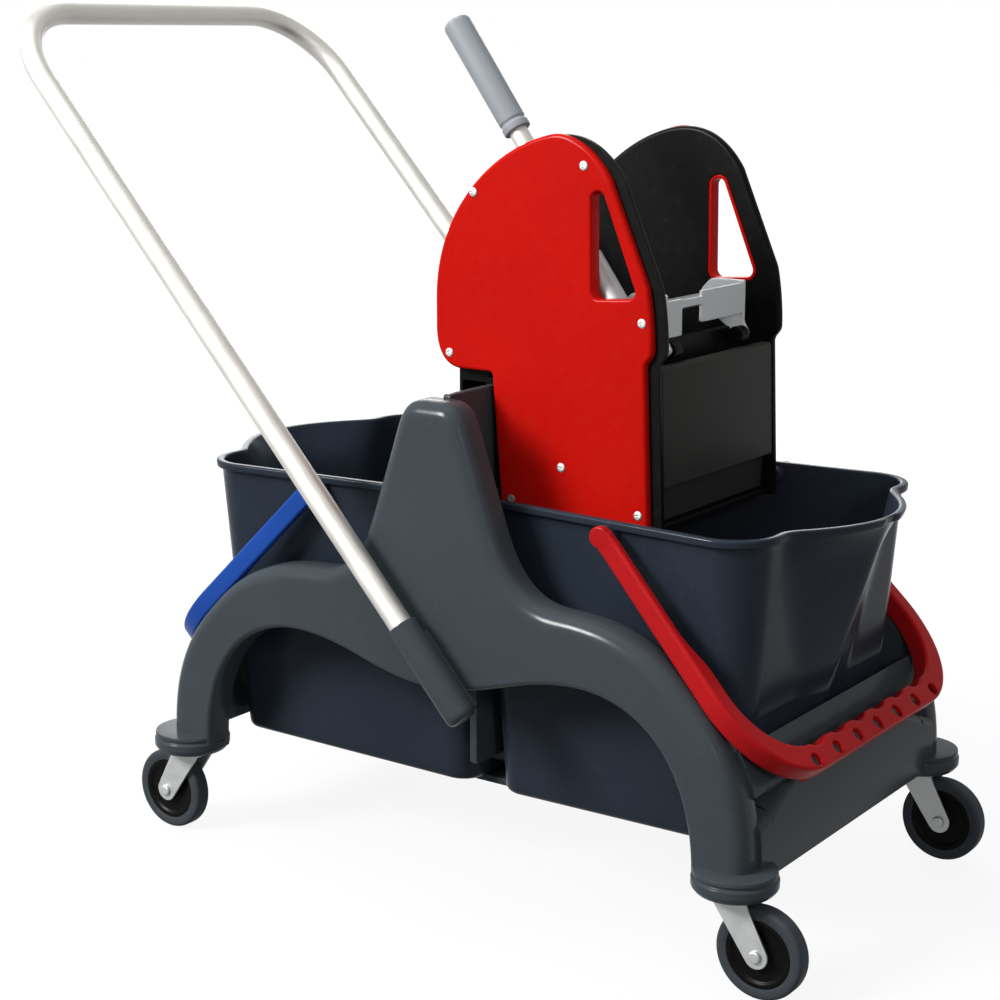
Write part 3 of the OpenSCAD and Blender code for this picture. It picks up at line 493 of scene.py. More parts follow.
class TrolleyStageSettings(bpy.types.PropertyGroup):
    """The floor, the lights and the camera."""
    floor: colour_setting("Floor", "Colour of the floor sheet", "#626262")
    glow: FloatProperty(name="Glow", description="White that shows on the floor by the wheels",
                        default=0.89)
    key: power_setting("Key light", "Power of the large soft light", 84)
    side: power_setting("Side light", "Power of the light on the wringer end", 9)
    top: power_setting("Top light", "Power of the light overhead", 22)
    back: power_setting("Back light", "Power of the light behind the trolley", 40)
    strip: power_setting("Strip light", "Power of the light that only shows in reflections", 650)
    sky: FloatProperty(name="Sky", description="Strength of the even light all round", default=0.3)
    lens: FloatProperty(name="Lens", description="Focal length on a 36 mm frame, in millimetres",
                        default=74.34)
    eye: FloatVectorProperty(name="Camera", description="Place of the camera",
                             subtype="TRANSLATION", unit="LENGTH",
                             default=(1.13551, -1.59558, 0.77621))
    turn: angle_setting("Turn", "Turn of the camera about the upright", 35.36)
    dip: angle_setting("Dip", "How far the camera looks down", 12.66)


class TrolleySettings(bpy.types.PropertyGroup):
    """All the trolley's settings."""
    chassis: PointerProperty(type=TrolleyChassisSettings)
    buckets: PointerProperty(type=TrolleyBucketSettings)
    wringer: PointerProperty(type=TrolleyWringerSettings)
    castors: PointerProperty(type=TrolleyCastorSettings)
    stage: PointerProperty(type=TrolleyStageSettings)


def chassis_plastic(context):
    """Slate grey polypropylene, as it comes from the mould."""
    return moulded("polypropylene_slate_grey", context.scene.trolley.chassis.colour, 0.2, 1.8, 0.35)


def bucket_plastic(context):
    """Dark blue-grey polypropylene of the buckets, a little glossier than the chassis."""
    colour = context.scene.trolley.buckets.colour
    return moulded("polypropylene_dark_blue_grey", colour, 0.19, 2.2, 0.3)


def red_plastic(context):
    """Glossy red polypropylene."""
    return moulded("polypropylene_red", context.scene.trolley.wringer.red, 0.26, 2.2, 0.12, 0.03)


def black_plastic(context):
    """Black polypropylene of the wringer's inside and the wheel hubs."""
    return moulded("polypropylene_black", context.scene.trolley.wringer.black, 0.38, 1.8, 0.2, 0.03)


def bright_tube(context):
    """Aluminium tube, drawn and satin anodised."""
    colour = context.scene.trolley.chassis.tube_colour
    return metal("aluminium_satin_anodised", colour, 0.4, 30, 0.03)


def plated_steel(context):
    """Pressed steel with bright zinc plating."""
    return metal("steel_zinc_plated", context.scene.trolley.wringer.zinc, 0.45, 9, 0.08)


def rubber(context):
    """Grey moulded tyre rubber: a dull, slightly chalky face."""
    return moulded("rubber_grey", context.scene.trolley.castors.rubber, 0.55, 1.4, 0.4)


# Chassis

def leg_line():
    """The outer edge of a leg in x and z, a cubic curve from its foot to the knee."""
    return curve([LEG_OUT, LEG_Z], KNEE, [0, 0.48], [0.42, 0.77])


def panel_patches(edge, arch_edge, wall):
    """A side panel at the near side: a tray open towards the buckets.

    The outline runs along the double arch, round the legs, whose feet go down into the bumpers, and
    over the shoulders and the hump. Rings of it, moved in by e (1 - sin q) at depth e (1 - cos q),
    round the outer edge, wider above than along the arch, turn in at the back and line the inside.
    Flat faces close the first and the last ring, and a plate closes each leg.
    """
    n, sunk = 110, LEG_Z - 14
    middle, top, leg_in = [0, BASE_Z + 121], [155, BASE_Z + 148.5], [LEG_OUT - 50.5, LEG_Z]
    shoulder, hump_side, hump_edge = [135, BASE_Z + 210], [66, BASE_Z + 272], [36, HUMP_Z - 21]
    lower = spaced(chain(
        curve(middle, top, [0.39, 0], [0.61, 1]),
        curve(top, leg_in, [0.556, 0], [0.966, 0.355]), [[leg_in[0], sunk]]), n)
    upper = spaced(chain(
        [[LEG_OUT, sunk]], leg_line(),
        curve(KNEE, shoulder, [0.29, 0.72], [0.57, 0.98]),
        curve(shoulder, hump_side, [0.51, 0.01], [0.8, 0.355]), [hump_edge],
        curve(hump_edge, [12, HUMP_Z], [0.21, 0.67], [0.5, 1]), [[0, HUMP_Z]]), n)
    half = np.concatenate([lower, upper])
    outline = np.concatenate([half, half[-2:0:-1] * [-1, 1]])
    e = np.repeat([arch_edge, edge], n)
    e = np.concatenate([e, e[-2:0:-1]])
    count, depth = len(outline), PANEL_OUT - PANEL_IN
    q = np.radians(np.linspace(0, 90, 10))
    lining = ((0, depth - 1), (0.3, depth - 0.3), (1, depth), (wall, depth), (wall, edge),
              (wall + 1, edge - 1))
    steps = [(e + HOLD, 0 * e), *((e * (1 - np.sin(a)), e * (1 - np.cos(a))) for a in q),
             *((d + 0 * e, c + 0 * e) for d, c in lining)]
    rings = np.stack([np.c_[inset(outline, d[:, None]), c - PANEL_OUT] for d, c in steps])
    first, last = (cap([rings[i, :, :2]]) for i in (0, -1))
    faces = [quads(len(steps), count), first, last + (len(steps) - 1) * count]
    shell = (rings[:, :, [0, 2, 1]].reshape(-1, 3), faces)
    leg = inset(half[half[:, 0] > leg_in[0] - 25], 1)
    cheek = [slab(leg, -PANEL_IN - 4.5, 4, 0.3)]
    return [shell, *cheek, *mirrored(cheek, X)]


def end_wall_patches(wall):
    """The front end wall and the sloped shelf at its top, as one sheet.

    Its face is x(y, z) = l(z) - 1 - h m(y, z): l is the outer edge of the legs, so the sheet leans
    back above into a shelf under the bail that ends short of the bucket, and m rises from 0 to 1
    across the sloped border of a hollow between the legs, above a line that climbs to the middle.
    """
    hollow, border, foot, top_z, side = 20, 7, 151, BASE_Z + 114, PANEL_IN + 3
    y = np.linspace(-side, side, 229)
    low = LEG_Z - (LEG_Z - WALL_Z) * (1 - step(np.abs(y), foot - 2, foot))
    z = low[:, None] + np.linspace(0, 1, 64) * (top_z - low)[:, None]
    far = np.abs(y)[:, None]
    above_line = z - BASE_Z - 51 - 0.36 * (165 - far)
    rise = np.minimum(np.minimum(above_line, BASE_Z + 79 - z), PANEL_IN + 4 - far)
    leg = leg_line()
    x = np.interp(z, leg[:, 1], leg[:, 0]) - 1 - hollow * step(rise, 0, border)
    return [thick(np.stack([x, np.broadcast_to(y[:, None], z.shape), z], 2), -wall)]


def bumper_profile():
    """Section of a corner bumper: a disc with a chamfered foot and a groove below its upper lip."""
    bore, r, h = 10.2, BUMPER_HIGH[0] - STEM_X + 1, BUMPER_HIGH[2] - BUMPER_LOW[2]
    return ringed(softened([
        [bore, 0], [r - 4, 0], [r, 5], [r, 12], [r - 2, 13.5], [r - 2, 15], [r - 1, 16],
        [r - 1.5, h], [bore, h]], [0.5, 1.5, 1.5, 0.8, 0.6, 0.6, 0.4, 0.4, 0.5]))


class TROLLEY_OT_chassis(bpy.types.Operator):
    """Builds the side panels, end walls, centre wall, floor rails, leg sockets and bumpers"""
    bl_idname = "trolley.chassis"
    bl_label = "Chassis"

    def execute(self, context):
        s = context.scene.trolley.chassis
        wall = s.wall / MM
        grey = chassis_plastic(context)
        panel = panel_patches(s.edge / MM, s.arch_edge / MM, wall)
        build("panel_near", panel, grey, "chassis", "side_panel_near")
        build("panel_far", mirrored(panel, Y), grey, "chassis", "side_panel_far")
        end = end_wall_patches(wall)
        build("end_front", end, grey, "chassis", "end_wall_front")
        build("end_rear", mirrored(end, X), grey, "chassis", "end_wall_rear")
        low, high, waist, inner = PART_LOW[2], PART_HIGH[2], BASE_Z + 117, PANEL_IN - 38
        loop = softened([
            [-inner, low], [inner, low], [inner, waist], [PANEL_IN, waist], [PANEL_IN, high],
            [-PANEL_IN, high], [-PANEL_IN, waist], [-inner, waist]], 3)
        centre_wall = plate([loop], PART_HIGH[0] - PART_LOW[0], [(1.2, 1.2)], [PART_LOW[0], 0, 0],
                            Y, Z, X)
        build("centre_wall", [centre_wall], grey, "chassis", "partition")
        deep, width, rail_y, end = 6, 40, 40, RAIL_HIGH[0]
        low, high = RAIL_LOW[2] + deep, RAIL_HIGH[2]
        loop = softened([
            [end, high], [0, low], [-end, high], [-end, high - deep], [-30, low - deep],
            [30, low - deep], [end, high - deep]], 2.2)
        rail = [slab(loop, rail_y, width, 0.6)]
        build("rails", rail + mirrored(rail, Y), grey, "chassis", "floor_rails")
        places = [np.array([a * STEM_X, b * STEM_Y, BASE_Z]) for a, b in CORNERS.values()]
        bumpers = [lathe(bumper_profile(), p, Z, 64) for p in places]
        build("bumpers", bumpers, grey, "chassis", "corner_bumpers")
        sockets = [sleeve(p, Z, 5.6, 10, 36) for p in places]
        build("sockets_leg", sockets, black_plastic(context), "chassis", "leg_sockets")
        return {"FINISHED"}


class TROLLEY_OT_handle(bpy.types.Operator):
    """Builds the bent tube push handle and its two sockets"""
    bl_idname = "trolley.handle"
    bl_label = "Push handle"

    def execute(self, context):
        s = context.scene.trolley.chassis
        length, bend = s.handle_length / MM, s.handle_bend / MM
        up = np.array([-math.sin(s.lean), 0, math.cos(s.lean)])
        leg = chain([[HANDLE_Y, 10]], arc([HANDLE_Y - bend, length - bend], bend, 0, 90, 28))
        flat = chain(leg, leg[::-1] * [-1, 1])
        path = HANDLE_FOOT + flat[:, :1] * Y + flat[:, 1:] * up
        build("handle", [tube(path, TUBE_R, 48)], bright_tube(context), "chassis", "handle_tube")
        foot = HANDLE_FOOT + HANDLE_Y * Y
        bore, r, top, seat = TUBE_R + FIT, 14, 101, 90
        ring = softened([[0, 0], [r, 0], [r, top], [bore, top], [bore, seat], [0, seat]],
                        [0, 8, 1.6, 0.8, 0.2, 0], 10)
        bracket = plate([rectangle(-5, 6, 5, 89, 3)], 16, [(0.5, 0.5)],
                        foot - (HANDLE_Y - PANEL_OUT + 1) * Y, np.cross(Y, up), up, Y)
        socket = [lathe(ring, foot, up, 56), bracket]
        build("handle_feet", socket + mirrored(socket, Y), chassis_plastic(context), "chassis",
              "handle_sockets")
        return {"FINISHED"}


# Buckets

def depth_share(z):
    """0 at a bucket's rim and 1 at its foot."""
    return (RIM_Z - z) / (RIM_Z - BUCKET_Z0)


def bucket_sizes(settings, z):
    """Ends x0 and x1 and half widths w0 and w1 of a bucket's wall, drawn in towards the foot."""
    f = depth_share(z)
    roll = settings.roll / MM
    half = PANEL_IN - 4 - roll
    return RIM_IN + roll + 5 * f, RIM_OUT - roll - 21 * f, half - 18 - 25 * f, half - 25 * f


def spout_reach(settings, z, y):
    """How far the spout stands out, growing towards the rim.

    Straight flanks meet in a keel, u = 1.05 - sqrt(t^2 + 0.0025), t = |y| / w(z); near the rim they
    swell into a broad nose, u = 1 - t^2. Where u nears 0 it is smoothed into the wall.
    """
    drop = settings.spout_drop / MM
    q = np.maximum(0, (z - RIM_Z + drop) / drop)
    t = np.abs(y) / (30 + 70 * q)
    nose = step(z, RIM_Z - 40, RIM_Z - 2)
    u = (1 - nose) * (1.05 - np.sqrt(t * t + 0.0025)) + nose * (1 - t ** 2)
    near = 0.2
    rise = np.where(u > near, u, (np.clip(u, -near, near) + near) ** 2 / (4 * near))
    return settings.spout / MM * q * rise


def bucket_patches(settings):
    """The front bucket as one closed shell.

    Each level is a rounded trapezium: arcs of radius k - o about corners set k in from the ends
    x0(z), x1(z) and the half widths w0(z), w1(z), joined by straight runs; o is the inward step,
    and at the outer end k shrinks towards the foot. Levels climb the outside from the rounded foot,
    go round the rolled rim and come down the inside. The outer end is pushed out by the spout, and
    the roll fades at its tip. The floor falls towards the inner end, and the fall fades to nothing
    at the rim.
    """
    wall, roll, skirt = (v / MM for v in (settings.wall, settings.roll, settings.skirt))
    foot, round_in, shrink = 8, 26, 26
    q = np.radians(np.linspace(0, 90, 7))
    under, lip = [-skirt - 1.6, 0], [-skirt - 0.4, -roll + 1]
    brow, crest = [-2.6, -roll], [0, wall - 2.2]
    rise = np.linspace(BUCKET_Z0 + foot, RIM_Z + under[0], 30)
    bead = chain([under], curve(under, lip, [0.9, 0.1], [1, 0.4], 5),
                 curve(lip, [-skirt + 1, -roll], [0.3, 0.8], [0.6, 1], 4),
                 [brow], curve(brow, [0, 2.6 - roll], [0.6, 0], [1, 0.45], 6),
                 [crest], curve(crest, [-2.2, wall], [0, 0.55], [0.4, 1], 5))
    z = np.concatenate([
        BUCKET_Z0 + foot * (1 - np.cos(q)), rise[1:-1], RIM_Z + bead[:, 0], rise[-2:0:-1],
        BUCKET_Z0 + wall + foot * (1 - np.cos(q[::-1]))])[:, None]
    o = np.concatenate([
        foot * (1 - np.sin(q)), 0 * rise[1:-1], bead[:, 1], wall + 0 * rise[1:-1],
        wall + foot * (1 - np.sin(q[::-1]))])[:, None]
    x0, x1, w0, w1 = bucket_sizes(settings, z)
    k, m = settings.round / MM - shrink * depth_share(z), round_in
    corners = [(x0 + m, m - w0, 180, m), (x1 - k, k - w1, 270, k), (x1 - k, w1 - k, 0, k),
               (x0 + m, w0 - m, 90, m)]
    arcs = []
    for cx, cy, start, r in corners:
        a = np.radians(np.linspace(0, 90, 17)) + math.radians(start)
        arcs.append(np.stack(np.broadcast_arrays(
            cx + (r - o) * np.cos(a), cy + (r - o) * np.sin(a)), 2))
    runs = []
    for i, count in enumerate((12, 72, 12, 10)):
        t = np.linspace(0, 1, count + 1)[1:-1, None]
        a, b = arcs[i][:, -1:], arcs[(i + 1) % 4][:, :1]
        runs += [arcs[i], a * (1 - t) + b * t]
    p = np.concatenate(runs, 1)
    x, y = p[:, :, 0], p[:, :, 1]
    fall = FOOT_FALL * depth_share(z) * ((x - FOOT_IN) / (FOOT_OUT - FOOT_IN) - 0.5)
    at_end = step(x, x1 - k, x1 - k + 12)
    tip = at_end * (1 - step(np.abs(y), 5, 15)) * np.clip(-o / roll, 0, 1)
    x = x + at_end * spout_reach(settings, z, y) - tip * roll * 0.8
    points = np.stack([x, y, z + fall], 2)
    rows, cols = x.shape
    floor = np.arange(cols)[None]
    shell = (points.reshape(-1, 3), [quads(rows, cols), floor, floor + (rows - 1) * cols])
    ear_y = 138
    ear = [rod([BAIL_X, ear_y, BAIL_Z], Y, 9, BAIL_PIVOT_Y - 4.3 - ear_y, 1)]
    return [shell, *ear, *mirrored(ear, Y)]


def bail_patches(settings):
    """A bail: a flat U, deeper at the grip, with holes and finger hollows, laid back on its slope.

    In its own plane (u from the pivots, v across) a middle line runs down a leg that splays out,
    round an arc of 75 mm and along the grip; the edges lie o(s) outside and i(s) inside it, which
    grow from 4 to 12 round the arc and from 5 to 14 half way down the leg. The grip's inner edge is
    cut by circles, c(v) = max(0, sqrt(400 - d^2) - 16), where d is the distance to the nearest
    hollow's middle. A lower plate has a long slot under the grip, and a thin upper one the holes.
    """
    length, bend, grip, depth, run, pitch, web, n = 250.5, 75, 24, 19, 14, 39, 4.5, 160
    middle = np.array([length - bend, BAIL_FOOT_Y - bend])
    lean = math.degrees(math.atan((BAIL_FOOT_Y - BAIL_PIVOT_Y) / (length - bend - run)))
    line = spaced(chain([[0, BAIL_PIVOT_Y], [run, BAIL_PIVOT_Y]],
                        arc(middle, bend, 90 + lean, 0, 48), [[length, 0]]), n)
    way = np.gradient(line, axis=0)
    way /= np.linalg.norm(way, axis=1, keepdims=True)
    square = np.stack([-way[:, 1], way[:, 0]], 1)
    s = np.linspace(0, 1, n)[:, None] * (length - bend + bend * math.pi / 2 + middle[1])
    round_arc = step(s, length - bend, length - bend + 1.5 * bend)
    outer = line + square * (4 + 8 * round_arc)
    inner = line - square * (5 + 9 * step(s, 105, 150) - 2 * round_arc)
    far = np.abs(np.abs(inner[:, 1]) % pitch - pitch / 2)
    hollow = np.clip(np.sqrt(400 - np.minimum(far, 20) ** 2) - 16, 0, None)
    on_grip = (inner[:, 0] > length - grip) & (inner[:, 1] < 3 * pitch)
    inner[:, 0] += np.where(on_grip, hollow, 0)
    loop = chain(outer, outer[-2::-1] * [1, -1], inner * [1, -1], inner[-2::-1])[::-1]
    holes = [arc([length + 2.5, (i - (settings.holes - 1) / 2) * pitch], 6, 0, -360, 28)[:-1]
             for i in range(settings.holes)]
    trough = rectangle(length - 6, -3.25 * pitch, length + 9, 3.25 * pitch, 4)[::-1]
    along, drop = math.cos(settings.slope), math.sin(settings.slope)
    down, out = np.array([along, 0, -drop]), np.array([drop, 0, along])
    pivot = np.array([BAIL_X, 0, BAIL_Z])
    edge = settings.bail_edge / MM
    lower = plate([loop, trough], depth - web, [(edge, 0), (1.4, 0)],
                  pivot + (1 - depth / 2) * out, down, Y, out)
    upper = plate([loop, *holes], web, [(0, edge)] + [(0, 1.2)] * len(holes),
                  pivot + (1 + depth / 2 - web) * out, down, Y, out)
    eyes = [rod(pivot + (side * BAIL_PIVOT_Y - 4.2) * Y, Y, depth / 2, 8.4, 2) for side in (-1, 1)]
    return [lower, upper, *eyes]


class TROLLEY_OT_buckets(bpy.types.Operator):
    """Builds the two buckets"""
    bl_idname = "trolley.buckets"
    bl_label = "Buckets"

    def execute(self, context):
        shell = bucket_patches(context.scene.trolley.buckets)
        plastic = bucket_plastic(context)
        build("bucket_front", shell, plastic, "red_bucket", "bucket_red")
        build("bucket_back", mirrored(shell, X), plastic, "blue_bucket", "bucket_blue")
        return {"FINISHED"}


class TROLLEY_OT_bails(bpy.types.Operator):
    """Builds the red and the blue bail and the studs they turn on"""
    bl_idname = "trolley.bails"
    bl_label = "Bails"

    def execute(self, context):
        s = context.scene.trolley.buckets
        black = black_plastic(context)
        red = moulded("polypropylene_red_bail", s.red, 0.32, 2.2, 0.15)
        blue = moulded("polypropylene_blue_bail", s.blue, 0.32, 2.2, 0.15)
        bail = bail_patches(s)
        stud_y = 146
        stud = [rod([BAIL_X, stud_y, BAIL_Z], Y, 4, BAIL_PIVOT_Y + 2 - stud_y, 0.4)]
        studs = stud + mirrored(stud, Y)
        build("bail_front", bail, red, "red_bail", "bail_red")
        build("bail_back", mirrored(bail, X), blue, "blue_bail", "bail_blue")
        build("studs_front", studs, black, "red_bucket", "bail_studs_red")
        build("studs_back", mirrored(studs, X), black, "blue_bucket", "bail_studs_blue")
        return {"FINISHED"}


# Wringer: places on its plates are x, and the height above their lower edge

PLATE_FRONT, PLATE_BACK, PLATE_REAR = PLATE_HIGH[0] - 1, 17.5, PLATE_LOW[0]
PLATE_H, LEDGE, SHAFT_H = PLATE_HIGH[2] - WRINGER_Z, 128.0, SHAFT_Z - WRINGER_Z
SCREWS = np.array([
    [PLATE_REAR + 43, PLATE_H - 53], [PLATE_FRONT - 80, PLATE_H - 26],
    [PLATE_FRONT - 20, SHAFT_H - 2], [PLATE_REAR + 16, LEDGE + 14], [PLATE_FRONT - 21, 17],
    [PLATE_BACK + 12, 15], [PLATE_FRONT - 101, 50]])
HOLE = [[PLATE_FRONT - 65, SHAFT_H + 22], [PLATE_FRONT - 35, SHAFT_H + 24],
        [PLATE_FRONT - 66, PLATE_H - 54]]


def plate_outline():
    """Outline of the wringer's black plates, counter-clockwise from the lower back corner."""
    front, back, rear = PLATE_FRONT, PLATE_BACK, PLATE_REAR
    nose, cheek = [front + 1, LEDGE + 32], [front - 5, LEDGE + 87]
    brow, crown = [front - 43, PLATE_H - 37], [front - 102, PLATE_H]
    return chain(
        [[back, 4], [back + 1, 1], [back + 4, 0]],
        [[front - 4, 0], [front - 1, 1], [front - 0.2, 4]],
        curve([front - 6, LEDGE + 18], nose, [0.1, 0.4], [0.9, 0.5], 12),
        curve(nose, cheek, [0, 0.4], [0.55, 0.8], 12),
        curve(cheek, brow, [0.33, 0.33], [0.67, 0.67], 8),
        curve(brow, crown, [0.21, 0.53], [0.54, 1], 16),
        curve(crown, [rear, LEDGE + 62], [0.37, 0], [1, 0.36], 48),
        curve([rear, LEDGE + 37], [rear + 28, LEDGE], [0, 0.62], [0.36, 1], 14),
        [[back - 13, LEDGE], [back - 11, LEDGE - 0.8], [back - 10, LEDGE - 3]])


def screw_patch(x, z):
    """A pan head with a cross: h(r, a) falls like a flat dome, less two crossed grooves."""
    head, rows, n = 4, 12, 40
    r = np.linspace(0, 1, rows)[:, None] * head
    a = (np.arange(n) * 2 * np.pi / n)[None]
    u, v = r * np.cos(a), r * np.sin(a)
    dome = 1.6 * np.sqrt(np.clip(1 - (r / 4.4) ** 2, 0, 1))
    groove_u, groove_v = (step(-np.abs(p), -0.8, -0.4) * step(-np.abs(q), -2.4, -1.9)
                          for p, q in ((u, v), (v, u)))
    h = np.broadcast_to(dome, u.shape) - np.maximum(groove_u, groove_v)
    top = np.stack([x + u, COVER_OUT + h, WRINGER_Z + z + v], 2)
    skirt = np.stack([x + u[-1], np.full(n, COVER_OUT - 0.6), WRINGER_Z + z + v[-1]], 1)[None]
    faces = [quads(rows + 1, n), np.arange(rows * n, (rows + 1) * n)[None]]
    return np.concatenate([top, skirt]).reshape(-1, 3), faces


class TROLLEY_OT_wringer(bpy.types.Operator):
    """Builds the wringer's plates, covers, screws, panels, saddle and drain grid"""
    bl_idname = "trolley.wringer"
    bl_label = "Wringer"

    def execute(self, context):
        s = context.scene.trolley.wringer
        red, black, steel = red_plastic(context), black_plastic(context), plated_steel(context)
        outline = plate_outline()
        set_back = outline - 11 * step(outline[:, :1], 50, 110) * [1, 0]
        hole, wide = around(HOLE, 7)[::-1], around(HOLE, 10.3)[::-1]
        collar = around(HOLE, 10)
        edge, thickness = s.cover_edge / MM, COVER_IN - PLATE_IN
        cover = [
            plate([set_back, hole], COVER_OUT - COVER_IN, [(edge, 0.3), (2, 0)],
                  [0, COVER_OUT, WRINGER_Z], X, Z, -Y),
            plate([collar, hole], thickness + 2, [(0, 0.5), (0, 0.8)],
                  [0, COVER_IN + 1, WRINGER_Z], X, Z, -Y)]
        inner = [plate([inset(outline, 0.4), wide], thickness, [(0.4, 3.5), (0.4, 0.8)],
                       [0, COVER_IN, WRINGER_Z], X, Z, -Y)]
        screws = [screw_patch(*p) for p in SCREWS]
        for side, patches in (("far", lambda p: p), ("near", lambda p: mirrored(p, Y))):
            build("red_cover_" + side, patches(cover), red, "wringer", "cover_" + side)
            build("black_plate_" + side, patches(inner), black, "wringer", "inner_plate_" + side)
        build("screws", screws + mirrored(screws, Y), steel, "wringer", "cover_screws")
        # The front wall gets a lighter copy of the black plastic, which paints on the side light's
        # sheen.
        self.panels(black, moulded("polypropylene_black_dusty", s.front, 0.45, 1.8, 0.1))
        pin = rod([PIN_X, PIN_LOW[1], PIN_Z], Y, 4, PIN_HIGH[1] - PIN_LOW[1])
        build("hinge_pin", [pin], steel, "wringer", "flap_pin")
        return {"FINISHED"}

    def panels(self, black, sheen_painted):
        """The moulded pieces between the two plates."""
        x, top = PLATE_FRONT - 11, LEDGE + 17
        lip = softened([
            [x - 6, 8], [x - 3, 8], [x - 1, top - 103], [x + 8, top - 105], [x + 4, top],
            [x - 6, top], [x - 6, top - 4], [x, top - 4], [x + 3, top - 100], [x - 4, top - 100]],
            [0.5, 0.5, 2, 1.5, 3, 1.5, 1.5, 1, 1, 1])
        rear, ledge, high = PLATE_REAR + 7, PLATE_BACK - 10.5, PLATE_H - 85
        back = softened([
            [PLATE_BACK + 0.5, 6], [PLATE_BACK + 4.5, 6], [ledge + 4, LEDGE + 4],
            [rear + 4, LEDGE + 4], [rear + 4, high], [rear, high], [rear, LEDGE], [ledge, LEDGE]],
            [1, 1, 4, 3, 1.5, 1.5, 5, 2])
        low, hook, side, reach = LEDGE - 12.5, -4.5, PLATE_REAR + 17, 18
        hooks = softened([
            [side, low - reach], [side + 4, low - reach], [side + 4, low], [hook - 4, low],
            [hook - 4, low - reach], [hook, low - reach], [hook, low], [4, low], [4, low + 5],
            [hook, low + 5], [hook, LEDGE], [side, LEDGE]],
            [1.5, 1.5, 1, 1, 1.5, 1.5, 0.5, 1, 1, 1, 1, 1])
        for name, loop, look, node in (
                ("front_wall", lip, sheen_painted, "front_panel"), ("back_wall", back, black, "back_plate"),
                ("hook", hooks, black, "saddle")):
            between = slab(loop + [0, WRINGER_Z], -PLATE_IN, 2 * PLATE_IN, 0.6)
            build(name, [between], look, "wringer", node)
        x0, x1, pitch = PLATE_BACK + 0.5, PLATE_FRONT - 8, (2 * PLATE_IN - 20) / 9
        slots = [rectangle(x0 + 14, i * pitch - 4, x1 - 14, i * pitch + 4, 3.5)[::-1]
                 for i in range(-4, 5)]
        sheet = rectangle(x0, -PLATE_IN, x1, PLATE_IN, 2)
        grid = plate([sheet, *slots], 5, [(0.8, 0.8)] * 10, [0, 0, WRINGER_Z + 1], X, Y, Z)
        build("grid", [grid], black, "wringer", "drain_grid")


class TROLLEY_OT_press(bpy.types.Operator):
    """Builds the press flap and the yoke that pushes it"""
    bl_idname = "trolley.press"
    bl_label = "Press"

    def execute(self, context):
        s = context.scene.trolley.wringer
        black, steel = black_plastic(context), plated_steel(context)
        coated = moulded("steel_powder_coated_white", s.coat, 0.35, 2.4, 0.05)
        arm = node_box("press_studs")[1][1]
        _, half, top = node_box("flap")[1]
        tongue, front, shoulder = arm - 2.5, PIN_X - 7.5, top - 22
        slot_w, pitch = 12, (2 * half - 20) / 6
        loop = softened([
            [-half, PIN_Z - 11], [half, PIN_Z - 11], [half, shoulder], [tongue, shoulder],
            [tongue, top], [-tongue, top], [-tongue, shoulder], [-half, shoulder]],
            [2, 2, 4, 3, 4, 4, 3, 4])
        slots = [rectangle(y - slot_w / 2, PIN_Z + 20, y + slot_w / 2, shoulder - 20, 4)[::-1]
                 for y in (np.arange(6) - 2.5) * pitch]
        flap = [plate([loop, *slots], 6, [(1.2, 1.2)] * 7, [front, 0, 0], Y, Z, -X),
                block([front - 1, -half, PIN_Z - 5], [PIN_X, half, PIN_Z + 5], 1.5),
                sleeve([PIN_X, -half, PIN_Z], Y, 4.1, 7, 2 * half)]
        build("press_plate", flap, black, "press_flap", "flap")
        stud_x, _, stud_z = centre("press_studs")
        x = SHAFT_X + 31
        side = softened([
            [SHAFT_X - 13, SHAFT_Z], [SHAFT_X - 9, SHAFT_Z - 9], [SHAFT_X, SHAFT_Z - 13],
            [stud_x, stud_z - 6], [stud_x + 6, stud_z], [x + 3, SHAFT_Z - 20],
            [x + 3, SHAFT_Z + 18], [SHAFT_X, SHAFT_Z + 18], [SHAFT_X - 9, SHAFT_Z + 9]],
            [3, 4, 4, 3, 3, 2, 2, 4, 4])
        arms = [slab(side, arm, 5, 0.8)]
        strap = softened([
            [-arm, -20], [-42, -20], [-42, 4], [-8, 4], [-8, -12], [arm, -12], [arm, 16], [-8, 16],
            [-8, 11], [-42, 11], [-42, 12], [-arm, 12]],
            [2, 2, 2, 2, 2, 2, 2, 1, 0.5, 0.3, 0.3, 2])
        bridge = plate([strap], 3, [(0.6, 0.6)], [x, 0, SHAFT_Z], Y, Z, X)
        build("yoke_arms", [*arms, *mirrored(arms, Y), bridge], coated, "lever", "yoke")
        knobs = [rod([stud_x, arm - 14, stud_z], Y, 8, 14, 1.5)]
        build("knobs", knobs + mirrored(knobs, Y), black, "lever", "press_studs")
        shaft = rod([SHAFT_X, SHAFT_LOW[1], SHAFT_Z], Y, 6, SHAFT_HIGH[1] - SHAFT_LOW[1])
        build("shaft", [shaft], steel, "lever", "lever_shaft")
        return {"FINISHED"}


